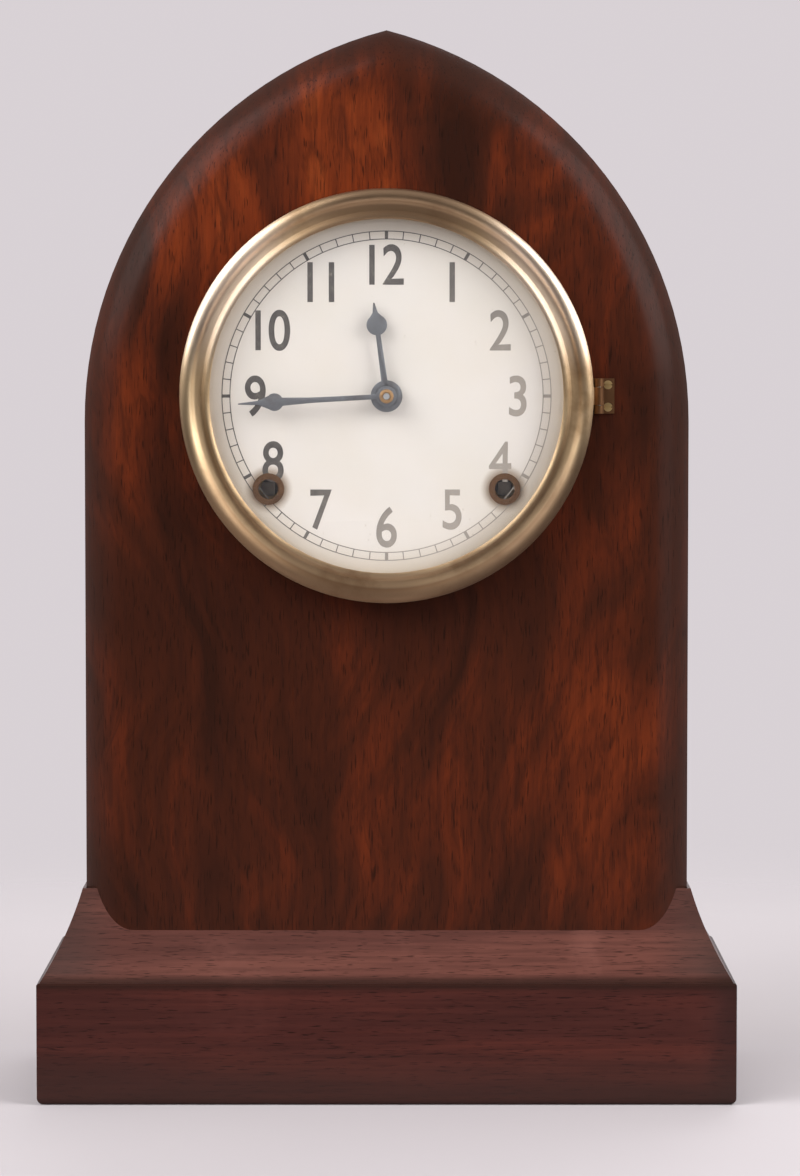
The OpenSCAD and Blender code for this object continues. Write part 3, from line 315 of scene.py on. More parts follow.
def flame_mahogany():
    """Front veneer: plumes that part from a wandering centre line, streaks, and a dark rim."""
    f = Finish("flame_mahogany", Coat_Weight=0.055, Coat_Roughness=0.2, Specular_IOR_Level=0.04)
    x, y, z = f.axes()
    wander = f.noise(f.moved((3, 3, 9)), 1.0, 2.0)
    off = f.math("ABSOLUTE", f.math("MULTIPLY_ADD", wander, 0.05, x))
    plume = f.joined(f.math("MULTIPLY", off, 34.0), f.math("MULTIPLY", y, 8.0),
                     f.math("SUBTRACT", f.math("MULTIPLY", z, 13.0), f.math("MULTIPLY", off, 19.0)))
    flame = f.noise(plume, 1.0, 5.0, 0.55, 1.1)
    feather = f.noise(f.moved((2.2, 1, 1), vector=plume), 4.5, 3.0, 0.6, 0.8)
    grain = f.noise(f.moved((620, 620, 26)), 1.0, 3.0, 0.6, 0.3)
    pores = f.noise(f.moved((2300, 2300, 170)), 1.0, 1.0, 0.5)
    sway = f.noise(f.moved((14, 14, 10)), 1.0, 3.0, 0.55)
    bent_x = f.math("MULTIPLY_ADD", sway, 0.05, f.math("SUBTRACT", x, 0.025))
    bent_z = f.math("MULTIPLY_ADD", wander, 0.04, f.math("SUBTRACT", z, 0.02))
    tone = streaked(f, f.math("MULTIPLY_ADD", flame, 0.72, 0.055), bent_x, bent_z)
    colour = f.ramp(tone, VENEER_TONES)
    colour = f.mix(f.between(feather, 0.45, 0.7, 0.0, 0.5), colour, VENEER_FEATHER)
    colour = f.mix(f.between(grain, 0.4, 0.75, 0.0, 0.4), colour, VENEER_GRAIN)
    above_spring = f.math("MAXIMUM", f.math("SUBTRACT", z, ARCH_SPRING), 0.0)
    across_arch = f.math("ADD", f.math("ABSOLUTE", x), ARCH_R - HALF_WIDTH)
    from_rim = f.math("SUBTRACT", ARCH_R, f.length(f.joined(across_arch, 0.0, above_spring)))
    colour = f.mix(f.between(from_rim, 13 * MM, 2 * MM, 0.0, 0.6), colour, VENEER_RIM)
    pore = f.between(pores, 0.6, 0.72)
    colour = f.mix(f.math("MULTIPLY", pore, 0.65), colour, VENEER_PORE)
    f.give("Base Color", colour)
    f.give("Roughness", f.between(grain, 0.2, 0.8, 0.26, 0.4))
    waves = f.noise(f.moved((70, 70, 70)), 1.0, 2.0)
    f.bump((pore, -0.03 * MM), (grain, 0.015 * MM), (waves, 0.09 * MM))
    return f.material


# Pine: tones across one growth ring, from early wood to late wood and back
PINE_RING = [
    (0.0, (0.3, 0.17, 0.078)), (0.12, (0.35, 0.205, 0.098)), (0.6, (0.3, 0.17, 0.078)),
    (0.9, (0.2, 0.1, 0.043)), (1.0, (0.26, 0.14, 0.062)),
]
PINE_FIBRE = (0.13, 0.066, 0.032)
PINE_STAIN = (0.07, 0.038, 0.022)
RINGS_PER_METRE = 270.0


def pine(name, axis, heart):
    """Bare aged softwood. Its rings lie round a leaning heart, given across and in depth."""
    f = Finish(name, Specular_IOR_Level=0.25)
    x, y, z = f.axes()
    across, along = (x, z) if axis == "z" else (z, x)
    aside = f.math("SUBTRACT", across, heart[0])
    behind = f.math("SUBTRACT", y, heart[1])
    sway = f.math("MULTIPLY", f.noise(f.moved((7, 7, 7)), 1.0, 2.0), 0.035)
    lean = f.math("MULTIPLY_ADD", along, 0.05, sway)
    distance = f.math("ADD", f.length(f.joined(aside, behind, 0.0)), lean)
    ring = f.math("FRACT", f.math("MULTIPLY", distance, RINGS_PER_METRE))
    fibre = f.noise(f.moved(drawn_out(axis, 900, 18)), 1.0, 3.0, 0.6)
    stain = f.noise(f.moved((11, 11, 6)), 1.0, 5.0, 0.6)
    colour = f.mix(f.between(fibre, 0.4, 0.75, 0.0, 0.5), f.ramp(ring, PINE_RING), PINE_FIBRE)
    colour = f.mix(f.between(stain, 0.5, 0.72, 0.0, 0.55), colour, PINE_STAIN)
    f.give("Base Color", colour)
    f.give("Roughness", f.between(fibre, 0.3, 0.7, 0.6, 0.82))
    f.bump((ring, 0.03 * MM), (fibre, 0.05 * MM))
    return f.material


def tarnish(f, bright, dull, size, low=0.5, high=0.72, amount=0.8):
    """Metal that is dull in spots. Returns its colour and the noise behind the spots."""
    spots = f.noise(f.moved((size, size, size)), 1.0, 5.0, 0.62)
    return f.mix(f.between(spots, low, high, 0.0, amount), bright, dull), spots


# Bezel brass: bare and tarnished, the knuckle's tone, then painted shade and a painted highlight by
# where they lie
BEZEL_BRIGHT = (0.8, 0.59, 0.36)
BEZEL_DULL = (0.36, 0.2, 0.09)
BEZEL_SHADE = (0.27, 0.155, 0.085)
BEZEL_KNUCKLE = (0.2, 0.1, 0.05)
BEZEL_HIGHLIGHT = (1.0, 0.84, 0.69)
BEZEL_LOW_RIGHT_SHADE = (0.09, 0.055, 0.038)
BEZEL_LIP_SHADE = (0.14, 0.075, 0.035)


def spun_brass():
    """Bezel brass: turned rings, painted shade at the crown, below, at the lower right and in the
    lip, and painted highlights at ten and two.
    """
    f = Finish("spun_brass", Metallic=1.0, Anisotropic=0.9)
    radius = f.radius(0.0, DIAL_Z)
    x, y, z = f.axes()
    aside = f.math("ABSOLUTE", x)
    outwards = f.node("ShaderNodeVectorMath", operation="NORMALIZE")
    f.put(outwards, 0, f.moved(shift=(0, 0, -DIAL_Z), scale=(1, 0, 1)))
    f.give("Tangent", outwards.outputs["Vector"])
    colour, spots = tarnish(f, BEZEL_BRIGHT, BEZEL_DULL, 34.0, 0.5, 0.74, 0.75)
    lip = f.between(radius, LIP_R, LIP_R - 1.2 * MM)
    # Painted shade on the lower half and the crown, where the bezel mirrors dim surroundings; the
    # lip below is left brighter
    below = f.math("MULTIPLY", f.between(z, DIAL_Z + 5 * MM, DIAL_Z - 50 * MM, 0.0, 0.8),
                   f.math("SUBTRACT", 1.0, f.math("MULTIPLY", lip, 0.8)))
    crown = f.math("MULTIPLY", f.between(aside, 45 * MM, 15 * MM, 0.0, 0.6),
                   f.between(z, DIAL_Z, DIAL_Z + 50 * MM))
    colour = f.mix(f.math("MAXIMUM", below, crown), colour, BEZEL_SHADE)
    colour = f.mix(f.between(x, BEZEL_R, BEZEL_R + 0.6 * MM), colour, BEZEL_KNUCKLE)
    # Painted highlights at ten and two, standing in for the upper lamps' glints
    wear_and_highlight = f.math("MULTIPLY", f.between(aside, 28 * MM, 48 * MM),
                    f.between(z, DIAL_Z + 4 * MM, DIAL_Z + 26 * MM, 0.0, 0.75))
    colour = f.mix(wear_and_highlight, colour, BEZEL_HIGHLIGHT)
    # Painted shade at the lower right, damping a lamp's glint there
    right_and_down = f.math("SUBTRACT", x, f.math("SUBTRACT", z, DIAL_Z))
    low_right_shade = f.between(right_and_down, 74 * MM, 96 * MM)
    colour = f.mix(f.math("MULTIPLY", low_right_shade, 0.6), colour, BEZEL_LOW_RIGHT_SHADE)
    # Painted shade on the inner lip beside the dial
    colour = f.mix(f.math("MULTIPLY", lip, 0.2), colour, BEZEL_LIP_SHADE)
    f.give("Base Color", colour)
    dull = f.math("MAXIMUM", f.math("MULTIPLY", below, 0.2), f.math("MULTIPLY", lip, 0.16))
    f.give("Roughness", f.math("ADD", dull, f.between(spots, 0.3, 0.75, 0.3, 0.44)))
    f.bump((f.turned(radius, 9000.0), 0.006 * MM), (spots, 0.008 * MM))
    return f.material


def plain_brass(name, bright, dull, rough):
    """Flat or turned brass with fine scratches."""
    f = Finish(name, Metallic=1.0)
    colour, spots = tarnish(f, bright, dull, 48.0)
    scratch = f.noise(f.moved((300, 300, 2600)), 1.0, 2.0, 0.6)
    f.give("Base Color", colour)
    f.give("Roughness", f.between(spots, 0.3, 0.75, rough, rough + 0.2))
    f.bump((scratch, 0.006 * MM), (spots, 0.01 * MM))
    return f.material


WHEEL_BRIGHT = (0.8, 0.58, 0.28)
WHEEL_DULL = (0.34, 0.2, 0.08)
ARBOR_BRIGHT = (0.5, 0.5, 0.5)
ARBOR_DULL = (0.22, 0.18, 0.15)


def wheel_brass(name, x, z, steel_radius):
    """Brass wheel on a steel arbor: steel within a radius of the arbor's line."""
    f = Finish(name, Metallic=1.0)
    radius = f.radius(x, z)
    core = f.between(radius, steel_radius + 0.1 * MM, steel_radius)
    colour, spots = tarnish(f, WHEEL_BRIGHT, WHEEL_DULL, 60.0)
    arbor = f.mix(f.between(spots, 0.5, 0.7), ARBOR_BRIGHT, ARBOR_DULL)
    f.give("Base Color", f.mix(core, colour, arbor))
    f.give("Roughness", f.between(spots, 0.3, 0.75, 0.26, 0.46))
    f.bump((f.turned(radius, 6000.0), 0.006 * MM), (spots, 0.01 * MM))
    return f.material


RUST = (0.13, 0.05, 0.02)


def steel(name, bright, dull, rough, rust=0.0):
    """Steel that is dull in spots, with rust in finer ones."""
    f = Finish(name, Metallic=1.0)
    colour, spots = tarnish(f, bright, dull, 90.0)
    if rust:
        rusty = f.noise(f.moved((160, 160, 160)), 1.0, 6.0, 0.7)
        colour = f.mix(f.between(rusty, 0.58, 0.7, 0.0, rust), colour, RUST)
    f.give("Base Color", colour)
    f.give("Roughness", f.between(spots, 0.3, 0.75, rough, rough + 0.22))
    f.bump((f.noise(f.moved((1500, 1500, 1500)), 1.0, 2.0), 0.008 * MM), (spots, 0.01 * MM))
    return f.material


IRON_TONES = [(0.4, (0.012, 0.011, 0.01)), (0.62, (0.03, 0.025, 0.02)), (0.75, (0.1, 0.05, 0.03))]


def japanned_iron():
    """Black lacquered iron casting, with a little rust."""
    f = Finish("japanned_iron", Coat_Weight=0.5, Coat_Roughness=0.2)
    spots = f.noise(f.moved((120, 120, 120)), 1.0, 5.0, 0.6)
    f.give("Base Color", f.ramp(spots, IRON_TONES))
    f.give("Roughness", f.between(spots, 0.3, 0.7, 0.35, 0.6))
    f.bump((f.noise(f.moved((500, 500, 500)), 1.0, 4.0, 0.6), 0.08 * MM))
    return f.material


CREAM = (0.8, 0.738, 0.69)
OLD_CREAM = (0.75, 0.675, 0.59)
EDGE_YELLOW = (0.62, 0.5, 0.36)
HOLE_SOIL = (0.27, 0.18, 0.11)
FLY_SPECK = (0.42, 0.34, 0.25)


def dial_enamel():
    """Cream dial paint, yellower towards its edge and soiled round its holes."""
    f = Finish("dial_enamel", Coat_Weight=0.25, Coat_Roughness=0.3, Specular_IOR_Level=0.35)
    radius = f.radius(0.0, DIAL_Z)
    cloud = f.noise(f.moved((26, 26, 26)), 1.0, 4.0, 0.55)
    speck = f.noise(f.moved((900, 900, 900)), 1.0, 2.0, 0.5)
    colour = f.mix(f.between(cloud, 0.35, 0.7, 0.0, 0.5), CREAM, OLD_CREAM)
    colour = f.mix(f.between(radius, 50 * MM, 61.5 * MM, 0.0, 0.55), colour, EDGE_YELLOW)
    for side in (-1, 1):
        from_hole = f.radius(side * HOLE_X * MM, DIAL_Z + HOLE_Y * MM)
        colour = f.mix(f.between(from_hole, 8.8 * MM, 5.6 * MM, 0.0, 0.75), colour, HOLE_SOIL)
    colour = f.mix(f.between(speck, 0.72, 0.8, 0.0, 0.5), colour, FLY_SPECK)
    f.give("Base Color", colour)
    f.give("Roughness", f.between(cloud, 0.3, 0.7, 0.42, 0.58))
    f.bump((f.noise(f.moved((240, 240, 240)), 1.0, 3.0), 0.02 * MM))
    return f.material


INK_TONES = [(0.35, (0.045, 0.04, 0.04)), (0.6, (0.085, 0.075, 0.07)), (0.78, (0.3, 0.26, 0.22))]
FADED_INK = (0.62, 0.54, 0.47)


def dial_ink():
    """Black print, faded towards the lower right and worn through in specks."""
    f = Finish("dial_ink", Specular_IOR_Level=0.3)
    worn = f.noise(f.moved((420, 420, 420)), 1.0, 4.0, 0.65)
    x, y, z = f.axes()
    down_right = f.math("ADD", x, f.math("MULTIPLY", f.math("SUBTRACT", DIAL_Z, z), 0.6))
    fading = f.between(down_right, -20 * MM, 50 * MM, 0.05, 0.55)
    f.give("Base Color", f.mix(fading, f.ramp(worn, INK_TONES), FADED_INK))
    f.give("Roughness", f.between(worn, 0.3, 0.7, 0.5, 0.7))
    return f.material


GLASS_TONES = [(0.3, (0.97, 0.98, 0.97)), (0.7, (0.95, 0.97, 0.96))]


def clear_glass():
    """Domed glass. Light passes it on the way to the dial."""
    f = Finish("clear_glass", Transmission_Weight=1.0, IOR=1.5, Roughness=0.01)
    f.give("Base Color", f.ramp(f.noise(f.moved((40, 40, 40)), 1.0, 3.0), GLASS_TONES))
    f.bump((f.noise(f.moved((55, 55, 55)), 1.0, 1.0), 0.05 * MM))
    path = f.node("ShaderNodeLightPath").outputs
    f.clear_where(f.math("MAXIMUM", path["Is Shadow Ray"], path["Is Diffuse Ray"]))
    return f.material


# Dark, middle and red tones of the plainer mahogany, and how far its rubbed spots show
BENT = [(0.035, 0.012, 0.007), (0.065, 0.018, 0.01), (0.11, 0.027, 0.013), 0.1]
PLINTH = [(0.036, 0.0105, 0.008), (0.06, 0.0155, 0.0115), (0.092, 0.021, 0.014), 0.1]
# The moulding's tones are lighter and greyer than the plinth's: its mahogany with a painted sheen
# of light from above on its upward-facing cove
SHEENED_MOULDING = [(0.07, 0.024, 0.018), (0.105, 0.037, 0.028), (0.145, 0.052, 0.038), 0.2]

FLAME = flame_mahogany()
BENT_MAHOGANY = mahogany("bent_mahogany", "arch", *BENT, base=False)
PLINTH_X = mahogany("plinth_mahogany_front", "x", *PLINTH)
PLINTH_Y = mahogany("plinth_mahogany_side", "y", *PLINTH)
MOULD_X = mahogany("moulding_mahogany_front", "x", *SHEENED_MOULDING)
MOULD_Y = mahogany("moulding_mahogany_side", "y", *SHEENED_MOULDING)
PINE_UP = pine("pine_upright", "z", (0.035, 0.115))
PINE_DOOR = pine("pine_door", "z", (-0.02, 0.1))
PINE_ALONG = pine("pine_along", "x", (0.06, 0.12))
SPUN_BRASS = spun_brass()
PLAIN_BRASS = plain_brass("plain_brass", (0.78, 0.56, 0.26), (0.33, 0.19, 0.07), 0.3)
DARK_BRASS = plain_brass("old_brass", (0.42, 0.25, 0.12), (0.17, 0.09, 0.04), 0.4)
DULL_BRASS = plain_brass("brown_brass", (0.14, 0.07, 0.034), (0.07, 0.036, 0.018), 0.5)
BRIGHT_STEEL = steel("bright_steel", (0.56, 0.56, 0.56), (0.25, 0.22, 0.2), 0.24, 0.5)
# Winding arbors: steel made very dark, a painted shade for arbors set deep in their holes
ARBOR_STEEL = steel("arbor_steel", (0.15, 0.13, 0.11), (0.08, 0.055, 0.04), 0.4, 0.6)
BLUED_STEEL = steel("blued_steel", (0.1, 0.14, 0.24), (0.08, 0.07, 0.07), 0.28)
HAND_STEEL = steel("hand_steel", (0.18, 0.185, 0.2), (0.11, 0.1, 0.1), 0.4, 0.3)
SPRING_STEEL = steel("mainspring_steel", (0.3, 0.32, 0.36), (0.12, 0.1, 0.09), 0.3, 0.3)
GONG_STEEL = steel("gong_steel", (0.09, 0.1, 0.14), (0.05, 0.045, 0.045), 0.3, 0.5)
IRON = japanned_iron()
ENAMEL = dial_enamel()
INK = dial_ink()
GLASS = clear_glass()


# Which finish each carried-over node has
def paint(material, *names):
    """Gives nodes a material."""
    for name in names:
        node = nodes[name]
        node.data.materials.clear()
        node.data.materials.append(material)


paint(FLAME, "front_board")
paint(BENT_MAHOGANY, "left_side", "right_side")
paint(PLINTH_X, "plinth_front")
paint(PLINTH_Y, "plinth_sides")
paint(MOULD_X, "front_moulding")
paint(MOULD_Y, "side_mouldings")
paint(PINE_UP, "back_board", "glue_blocks")
paint(PINE_DOOR, "back_door")
paint(PINE_ALONG, "plinth_back", "case_floor")
paint(SPUN_BRASS, "bezel")
paint(DARK_BRASS, "door_hinge_leaves", "door_hinge_flaps", "door_button", "door_knob",
      "glass_ring", "hand_nut")
paint(DULL_BRASS, "dial_grommets", "bezel_hinge_leaf")
paint(PLAIN_BRASS, "case_screws", "dial_pan", "front_plate", "back_plate", "pillars",
      "mounting_posts", "pendulum_bob", "rating_nut")
paint(ENAMEL, "dial_plate")
paint(GLASS, "glass")
paint(HAND_STEEL, "hour_hand", "minute_hand")
paint(BRIGHT_STEEL, "door_hinge_pins", "bezel_hinge_pin", "centre_arbor", "movement_fasteners",
      "pendulum_rod", "hammer")
paint(ARBOR_STEEL, "time_winding_arbor", "strike_winding_arbor")
paint(BLUED_STEEL, "pallet_anchor", "suspension_spring", "time_click", "strike_click")
paint(SPRING_STEEL, "mainsprings")
paint(GONG_STEEL, "gong")
paint(IRON, "gong_stand")

# Wheels: place of the arbor from the dial's centre, and the radius that is steel (mm)
WHEELS = {
    "time_great_wheel": (HOLE_X, HOLE_Y, 0.0), "strike_great_wheel": (-HOLE_X, HOLE_Y, 0.0),
    "time_second_wheel": (23.884, -8.036, 2.0), "centre_wheel": (0, 0, 2.3),
    "third_wheel": (5.544, 21.29, 1.4), "escape_wheel": (0, 41, 1.4),
    "strike_second_wheel": (-35.299, -3.338, 2.0), "pin_wheel": (-28.527, 15.268, 1.4),
    "warning_wheel": (-25.618, 31.764, 1.4), "fly": (-28.08, 45.724, 1.4),
    "minute_wheel": (6, -10.392, 0.0), "hour_wheel": (0, 0, 2.5),
}
for wheel, (x, y, steel_radius) in WHEELS.items():
    paint(wheel_brass(wheel + "_brass", x * MM, DIAL_Z + y * MM, steel_radius * MM), wheel)


# Hand work in Blender: selection, copies of nodes, and finishing
MERGED_UNDER = 0.002 * MM
FLAT_UNDER = 0.4
EASED_OVER = 40


def only(piece):
    """Selects one piece and nothing else."""
    bpy.ops.object.select_all(action="DESELECT")
    piece.select_set(True)
    bpy.context.view_layer.objects.active = piece


def set_down(piece, name, material, body, smooth=30.0):
    """Puts a piece's place into its mesh, names it, finishes it and lets it ride."""
    only(piece)
    bpy.ops.object.transform_apply(location=True, rotation=True, scale=True)
    if smooth:
        bpy.ops.object.shade_smooth_by_angle(angle=math.radians(smooth))
    piece.name = name
    piece.data.name = name
    piece.data.materials.clear()
    piece.data.materials.append(material)
    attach(piece, body)
    return piece


def copy_of(node):
    """A merged copy of a node, with its flat faces whole again."""
    piece = bpy.data.objects.new(node + "_copy", nodes[node].data.copy())
    scene.collection.objects.link(piece)
    only(piece)
    bpy.ops.mesh.customdata_custom_splitnormals_clear()
    bpy.ops.object.mode_set(mode="EDIT")
    bpy.ops.mesh.select_all(action="SELECT")
    bpy.ops.mesh.remove_doubles(threshold=MERGED_UNDER)
    bpy.ops.mesh.dissolve_limited(angle_limit=math.radians(FLAT_UNDER))
    bpy.ops.object.mode_set(mode="OBJECT")
    return piece


def ease(piece, width):
    """Takes the sharpness off the edges with a narrow bevel."""
    only(piece)
    bevel = piece.modifiers.new("ease", "BEVEL")
    bevel.width = width
    bevel.segments = 2
    bevel.limit_method = "ANGLE"
    bevel.angle_limit = math.radians(EASED_OVER)
    bpy.ops.object.modifier_apply(modifier=bevel.name)


def smoothed(node, name, material, body, width, smooth):
    """A smooth copy that takes a node's place, with its edges eased where a width is given."""
    piece = copy_of(node)
    if width:
        ease(piece, width)
    set_down(piece, name, material, body, smooth)
    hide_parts(node)
    return piece


# Smooth copies: node, new name, finish, body, width of the eased edge (mm), smoothing angle
SMOOTHED = [
    ("front_board", "flame_front", FLAME, "root", 0.0, 30),
    ("left_side", "bent_side_left", BENT_MAHOGANY, "root", 0.0, 30),
    ("right_side", "bent_side_right", BENT_MAHOGANY, "root", 0.0, 30),
    ("front_moulding", "hollow_moulding_front", MOULD_X, "root", 0.0, 25),
    ("side_mouldings", "hollow_moulding_sides", MOULD_Y, "root", 0.0, 25),
    ("plinth_front", "plinth_rail_front", PLINTH_X, "root", 0.0, 30),
    ("plinth_sides", "plinth_rail_sides", PLINTH_Y, "root", 0.0, 30),
    ("back_door", "panel_door", PINE_DOOR, "door", 0.6, 30),
    ("bezel", "spun_bezel", SPUN_BRASS, "bezel_set", 0.0, 35),
    ("glass", "domed_glass", GLASS, "bezel_set", 0.0, 40),
    ("hour_hand", "spade_hour_hand", HAND_STEEL, "hour_hand_wheel", 0.14, 35),
    ("minute_hand", "spade_minute_hand", HAND_STEEL, "minute_hand_arbor", 0.14, 35),
    ("hand_nut", "domed_hand_nut", DARK_BRASS, "minute_hand_arbor", 0.4, 35),
    ("door_button", "turn_button", DARK_BRASS, "button", 0.5, 35),
    ("door_knob", "turned_knob", DARK_BRASS, "door", 0.0, 50),
    ("pendulum_bob", "lens_bob", PLAIN_BRASS, "pendulum", 0.0, 40),
]
for node, name, material, body, width, smooth in SMOOTHED:
    smoothed(node, name, material, body, width * MM, smooth)


# Dial print: upright numbers, a minute track of two thin rings, and its strokes (mm)
PRINT_T = 0.05
NUMBER_RING = 44.7
NUMBER_HEIGHT = 13.5
NUMBER_BOLDER = 0.32
TRACK_RINGS = (56.2, 53.5)
TRACK_LINE = 0.3
TRACK_SIDES = 180
STROKE_INNER = 53.4
STROKE_OUTER = 55.9
HOUR_STROKE = 1.1
MINUTE_STROKE = 0.35

# Shares of the font's own measures: a number's height, the space between two, width, thickness
HEIGHT_SHARE = 0.7
SPACE_SHARE = 0.92
WIDTH_SHARE = 0.82
THICKNESS_SHARE = 0.15


def lay_on_dial(piece, x, y):
    """Stands a flat piece up in front of the dial, facing forward."""
    piece.rotation_euler = (math.radians(90), 0, 0)
    piece.location = (x * MM, DIAL_FACE, DIAL_Z + y * MM)
    only(piece)
    bpy.ops.object.transform_apply(location=True, rotation=True, scale=True)


def joined(pieces):
    """One piece out of several."""
    only(pieces[0])
    for piece in pieces:
        piece.select_set(True)
    bpy.ops.object.join()
    return pieces[0]


def thickened():
    """In edit mode, pulls the selected flat faces up by the thickness of the print."""
    bpy.ops.mesh.extrude_region_move(TRANSFORM_OT_translate={"value": (0, 0, PRINT_T * MM)})
    bpy.ops.mesh.select_all(action="SELECT")
    bpy.ops.mesh.normals_make_consistent(inside=False)
    bpy.ops.object.mode_set(mode="OBJECT")


def hour_number(hour):
    """A number, made bolder and narrower than the font, upright at its hour."""
    bpy.ops.object.select_all(action="DESELECT")
    bpy.ops.object.text_add()
    text = bpy.context.object
    text.data.body = str(hour)
    text.data.align_x = "CENTER"
    text.data.align_y = "CENTER"
    text.data.size = NUMBER_HEIGHT / HEIGHT_SHARE * MM
    text.data.space_character = SPACE_SHARE
    text.data.extrude = PRINT_T * MM
    only(text)
    bpy.ops.object.convert(target="MESH")
    text = bpy.context.object
    bpy.ops.object.mode_set(mode="EDIT")
    bpy.ops.mesh.select_all(action="SELECT")
    bpy.ops.mesh.remove_doubles(threshold=1e-6)
    bpy.ops.transform.shrink_fatten(value=NUMBER_BOLDER * MM)
    bpy.ops.transform.resize(value=(WIDTH_SHARE, 1, THICKNESS_SHARE))
    bpy.ops.object.mode_set(mode="OBJECT")
    low = Vector([min(v.co[i] for v in text.data.vertices) for i in range(3)])
    high = Vector([max(v.co[i] for v in text.data.vertices) for i in range(3)])
    text.location = -(low + high) / 2
    bpy.ops.object.transform_apply(location=True, rotation=False, scale=False)
    angle = math.radians(90 - 30 * hour)
    lay_on_dial(text, NUMBER_RING * math.cos(angle), NUMBER_RING * math.sin(angle))
    return text


def track_ring(radius):
    """A thin ring of print, with the radius on its outer side."""
    bpy.ops.object.select_all(action="DESELECT")
    bpy.ops.mesh.primitive_circle_add(vertices=TRACK_SIDES, radius=radius * MM, fill_type="NGON")
    ring = bpy.context.object
    bpy.ops.object.mode_set(mode="EDIT")
    bpy.ops.mesh.select_all(action="SELECT")
    bpy.ops.mesh.inset(thickness=TRACK_LINE * MM, depth=0)
    bpy.ops.mesh.delete(type="FACE")
    bpy.ops.mesh.select_all(action="SELECT")
    thickened()
    lay_on_dial(ring, 0, 0)
    return ring


def track_stroke(minute):
    """A stroke across the track, broad at the hours."""
    width = MINUTE_STROKE if minute % 5 else HOUR_STROKE
    angle = math.radians(90 - 6 * minute)
    bpy.ops.object.select_all(action="DESELECT")
    bpy.ops.mesh.primitive_plane_add(size=1)
    stroke = bpy.context.object
    bpy.ops.object.mode_set(mode="EDIT")
    bpy.ops.mesh.select_all(action="SELECT")
    bpy.ops.transform.resize(value=((STROKE_OUTER - STROKE_INNER) * MM, width * MM, 1))
    thickened()
    stroke.rotation_euler = (0, 0, angle)
    bpy.ops.object.transform_apply(location=False, rotation=True, scale=False)
    middle = (STROKE_INNER + STROKE_OUTER) / 2
    lay_on_dial(stroke, middle * math.cos(angle), middle * math.sin(angle))
    return stroke


numbers = [hour_number(hour) for hour in range(1, 13)]
track = [track_ring(radius) for radius in TRACK_RINGS]
track += [track_stroke(minute) for minute in range(60)]
set_down(joined(numbers), "dial_numbers", INK, "root", 0)
set_down(joined(track), "minute_track", INK, "root", 0)


# Slots cut in the screw heads. Places and sizes are in millimetres
ACROSS, DEEP, UP = 0, 1, 2
FRONT_SCREW_Y = -51.8
PAN_SCREW_RING = 66.6
BEZEL_HINGE_X = 75.7
BEZEL_HINGE_REACH = 3.8
DOOR_HINGE_X = 67.75
DOOR_HINGE_Y = 57.8
DOOR_HINGES = ((112, UP), (205, ACROSS))
DOOR_HINGE_REACH = 7
GONG_SCREW = (11, 36, 55)
BUTTON_SCREW = (-68, 61.7, 155)


def slot_cutter(centre, along, facing, length, width=0.45, depth=0.5):
    """A thin box across a head, at its outer face."""
    bpy.ops.object.select_all(action="DESELECT")
    bpy.ops.mesh.primitive_cube_add(size=1)
    cutter = bpy.context.object
    third = 3 - along - facing
    size = [0.0, 0.0, 0.0]
    size[along] = length * MM
    size[facing] = 2 * depth * MM
    size[third] = width * MM
    cutter.scale = size
    cutter.location = [c * MM for c in centre]
    bpy.ops.object.transform_apply(location=True, rotation=True, scale=True)
    return cutter


def slotted(node, name, material, body, cutters):
    """A copy that takes a node's place, with the cutters' slots cut out of it."""
    piece = copy_of(node)
    cutter = joined(cutters)
    only(piece)
    cut = piece.modifiers.new("slots", "BOOLEAN")
    cut.operation = "DIFFERENCE"
    cut.object = cutter
    cut.solver = "EXACT"
    bpy.ops.object.modifier_apply(modifier=cut.name)
    bpy.data.objects.remove(cutter)
    set_down(piece, name, material, body, 30)
    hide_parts(node)
    return piece


def screw_slots():
    """A cutter for each screw of the case, turned as a hand would leave it."""
    cutters = []
    for quarter in range(4):
        angle = math.radians(45 + 90 * quarter)
        centre = (PAN_SCREW_RING * math.cos(angle), FRONT_SCREW_Y,
                  DIAL_HEIGHT + PAN_SCREW_RING * math.sin(angle))
        cutters.append(slot_cutter(centre, ACROSS if quarter % 2 else UP, DEEP, 6))
    for side in (-1, 1):
        centre = (BEZEL_HINGE_X, FRONT_SCREW_Y, DIAL_HEIGHT + BEZEL_HINGE_REACH * side)
        cutters.append(slot_cutter(centre, ACROSS, DEEP, 4, 0.35, 0.35))
        for height, along in DOOR_HINGES:
            centre = (DOOR_HINGE_X, DOOR_HINGE_Y, height + DOOR_HINGE_REACH * side)
            cutters.append(slot_cutter(centre, along, DEEP, 5, 0.4, 0.4))
        centre = (GONG_SCREW[0] * side, *GONG_SCREW[1:])
        cutters.append(slot_cutter(centre, ACROSS, UP, 6))
    cutters.append(slot_cutter(BUTTON_SCREW, ACROSS, DEEP, 8, 0.7, 0.6))
    return cutters


slotted("case_screws", "slotted_screws", PLAIN_BRASS, "root", screw_slots())


# Stage: a pale floor that fades into the background, and soft studio light. Sizes in metres
PALE = (0.69, 0.64, 0.667)
FLOOR_SIZE = 6
FLOOR_FADES = (0.3, 0.75)
FLOOR_TONES = [(0.4, (0.555, 0.512, 0.53)), (0.6, (0.565, 0.522, 0.54))]
DIM_FRONT = (0.03, 0.024, 0.022)
SIDE_WALLS = (1.0, 0.96, 0.93)
AMBIENT = (1.0, 0.985, 0.99)

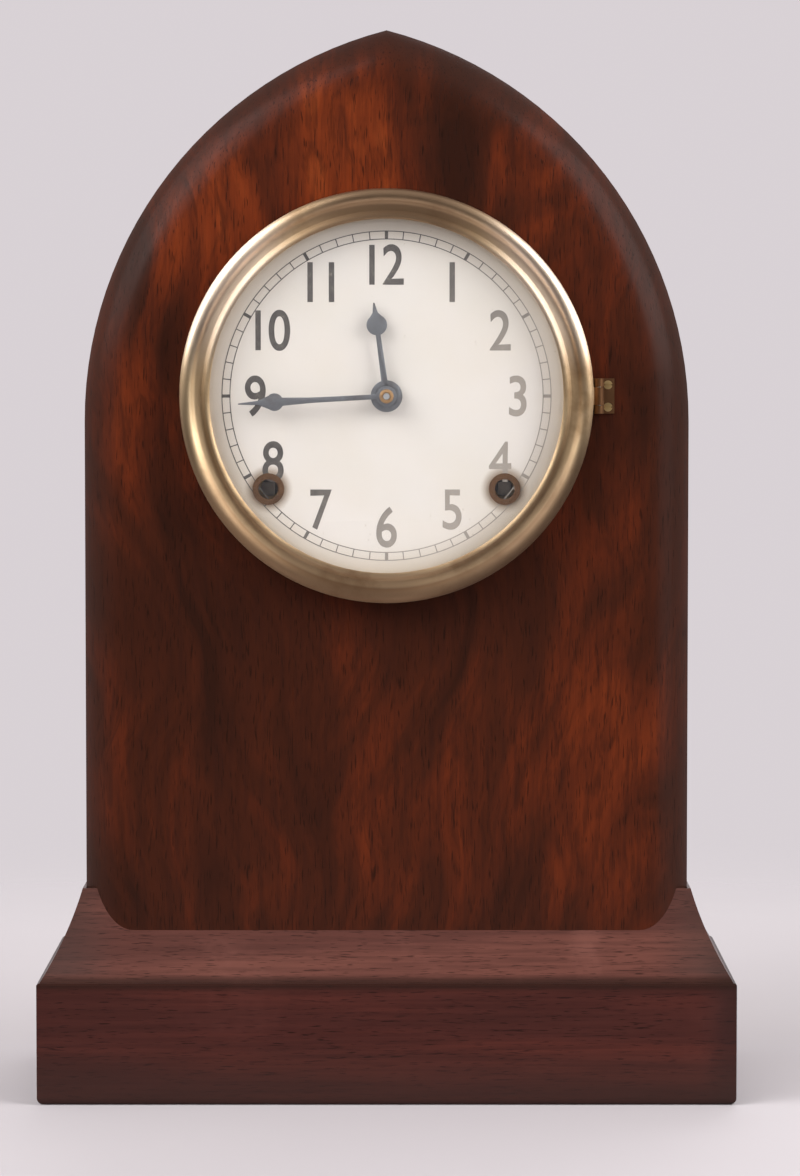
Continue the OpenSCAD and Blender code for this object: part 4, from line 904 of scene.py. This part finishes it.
# Lamps: name, place, what it points at, size, power in watts
LAMPS = [
    ("key", (-1.35, -1.5, 1.75), (0, 0, 0.18), 1.6, 26),
    ("fill", (1.75, -1.15, 0.45), (0, 0, 0.22), 1.1, 5),
    ("upper_left", (-1.35, -0.6, 1.08), (0, 0, 0.24), 1.2, 15),
    ("upper_right", (1.35, -0.7, 1.0), (0, 0, 0.24), 1.2, 22),
    ("back", (0.3, 1.6, 1.3), (0, 0, 0.2), 1.2, 14),
]


def floor():
    """A pale floor that fades out round the clock, to where only the backdrop is seen."""
    bpy.ops.object.select_all(action="DESELECT")
    bpy.ops.mesh.primitive_plane_add(size=FLOOR_SIZE)
    ground = bpy.context.object
    ground.name = "floor"
    f = Finish("pale_floor", Specular_IOR_Level=0.1, Roughness=0.8)
    f.give("Base Color", f.ramp(f.noise(f.moved((5, 5, 5)), 1.0, 2.0), FLOOR_TONES))
    f.clear_where(f.between(f.length(f.place), *FLOOR_FADES))
    ground.data.materials.append(f.material)


def soft_light(name, place, target, size, power):
    """A square lamp, turned towards its target."""
    light = bpy.data.lights.new(name, "AREA")
    light.shape = "SQUARE"
    light.size = size
    light.energy = power
    lamp = bpy.data.objects.new(name, light)
    scene.collection.objects.link(lamp)
    lamp.location = place
    lamp.rotation_euler = (Vector(target) - Vector(place)).to_track_quat("-Z", "Y").to_euler()


def studio():
    """A pale room. Polished surfaces mirror it with its front dim and a white wall at each side."""
    world = bpy.data.worlds.new("studio")
    scene.world = world
    world.use_nodes = True
    room = Nodes(world.node_tree, "Generated")

    def glow(colour, strength=1.0):
        made = room.node("ShaderNodeBackground")
        room.put(made, "Color", colour)
        room.put(made, "Strength", strength)
        return made.outputs[0]

    x, y, z = room.axes()
    ceiling = room.between(z, -0.1, 0.75, 0.0, 0.7)
    behind = room.between(y, -0.6, 0.6)
    far = room.math("MAXIMUM", ceiling, behind)
    mirrored = room.ramp(far, [(0.0, DIM_FRONT), (1.0, PALE)])
    wall = room.math("MULTIPLY", room.between(room.math("ABSOLUTE", x), 0.3, 0.62),
                     room.between(z, -0.15, 0.3))
    mirrored = room.mix(wall, mirrored, SIDE_WALLS)
    path = room.node("ShaderNodeLightPath").outputs
    direct = room.math("MAXIMUM", path["Is Camera Ray"], path["Is Transmission Ray"])
    lit = room.either(path["Is Glossy Ray"], glow((*AMBIENT, 1.0), 0.5), glow(mirrored))
    output = room.node("ShaderNodeOutputWorld")
    room.put(output, "Surface", room.either(direct, lit, glow((*PALE, 1.0))))


floor()
studio()
for lamp in LAMPS:
    soft_light(*lamp)
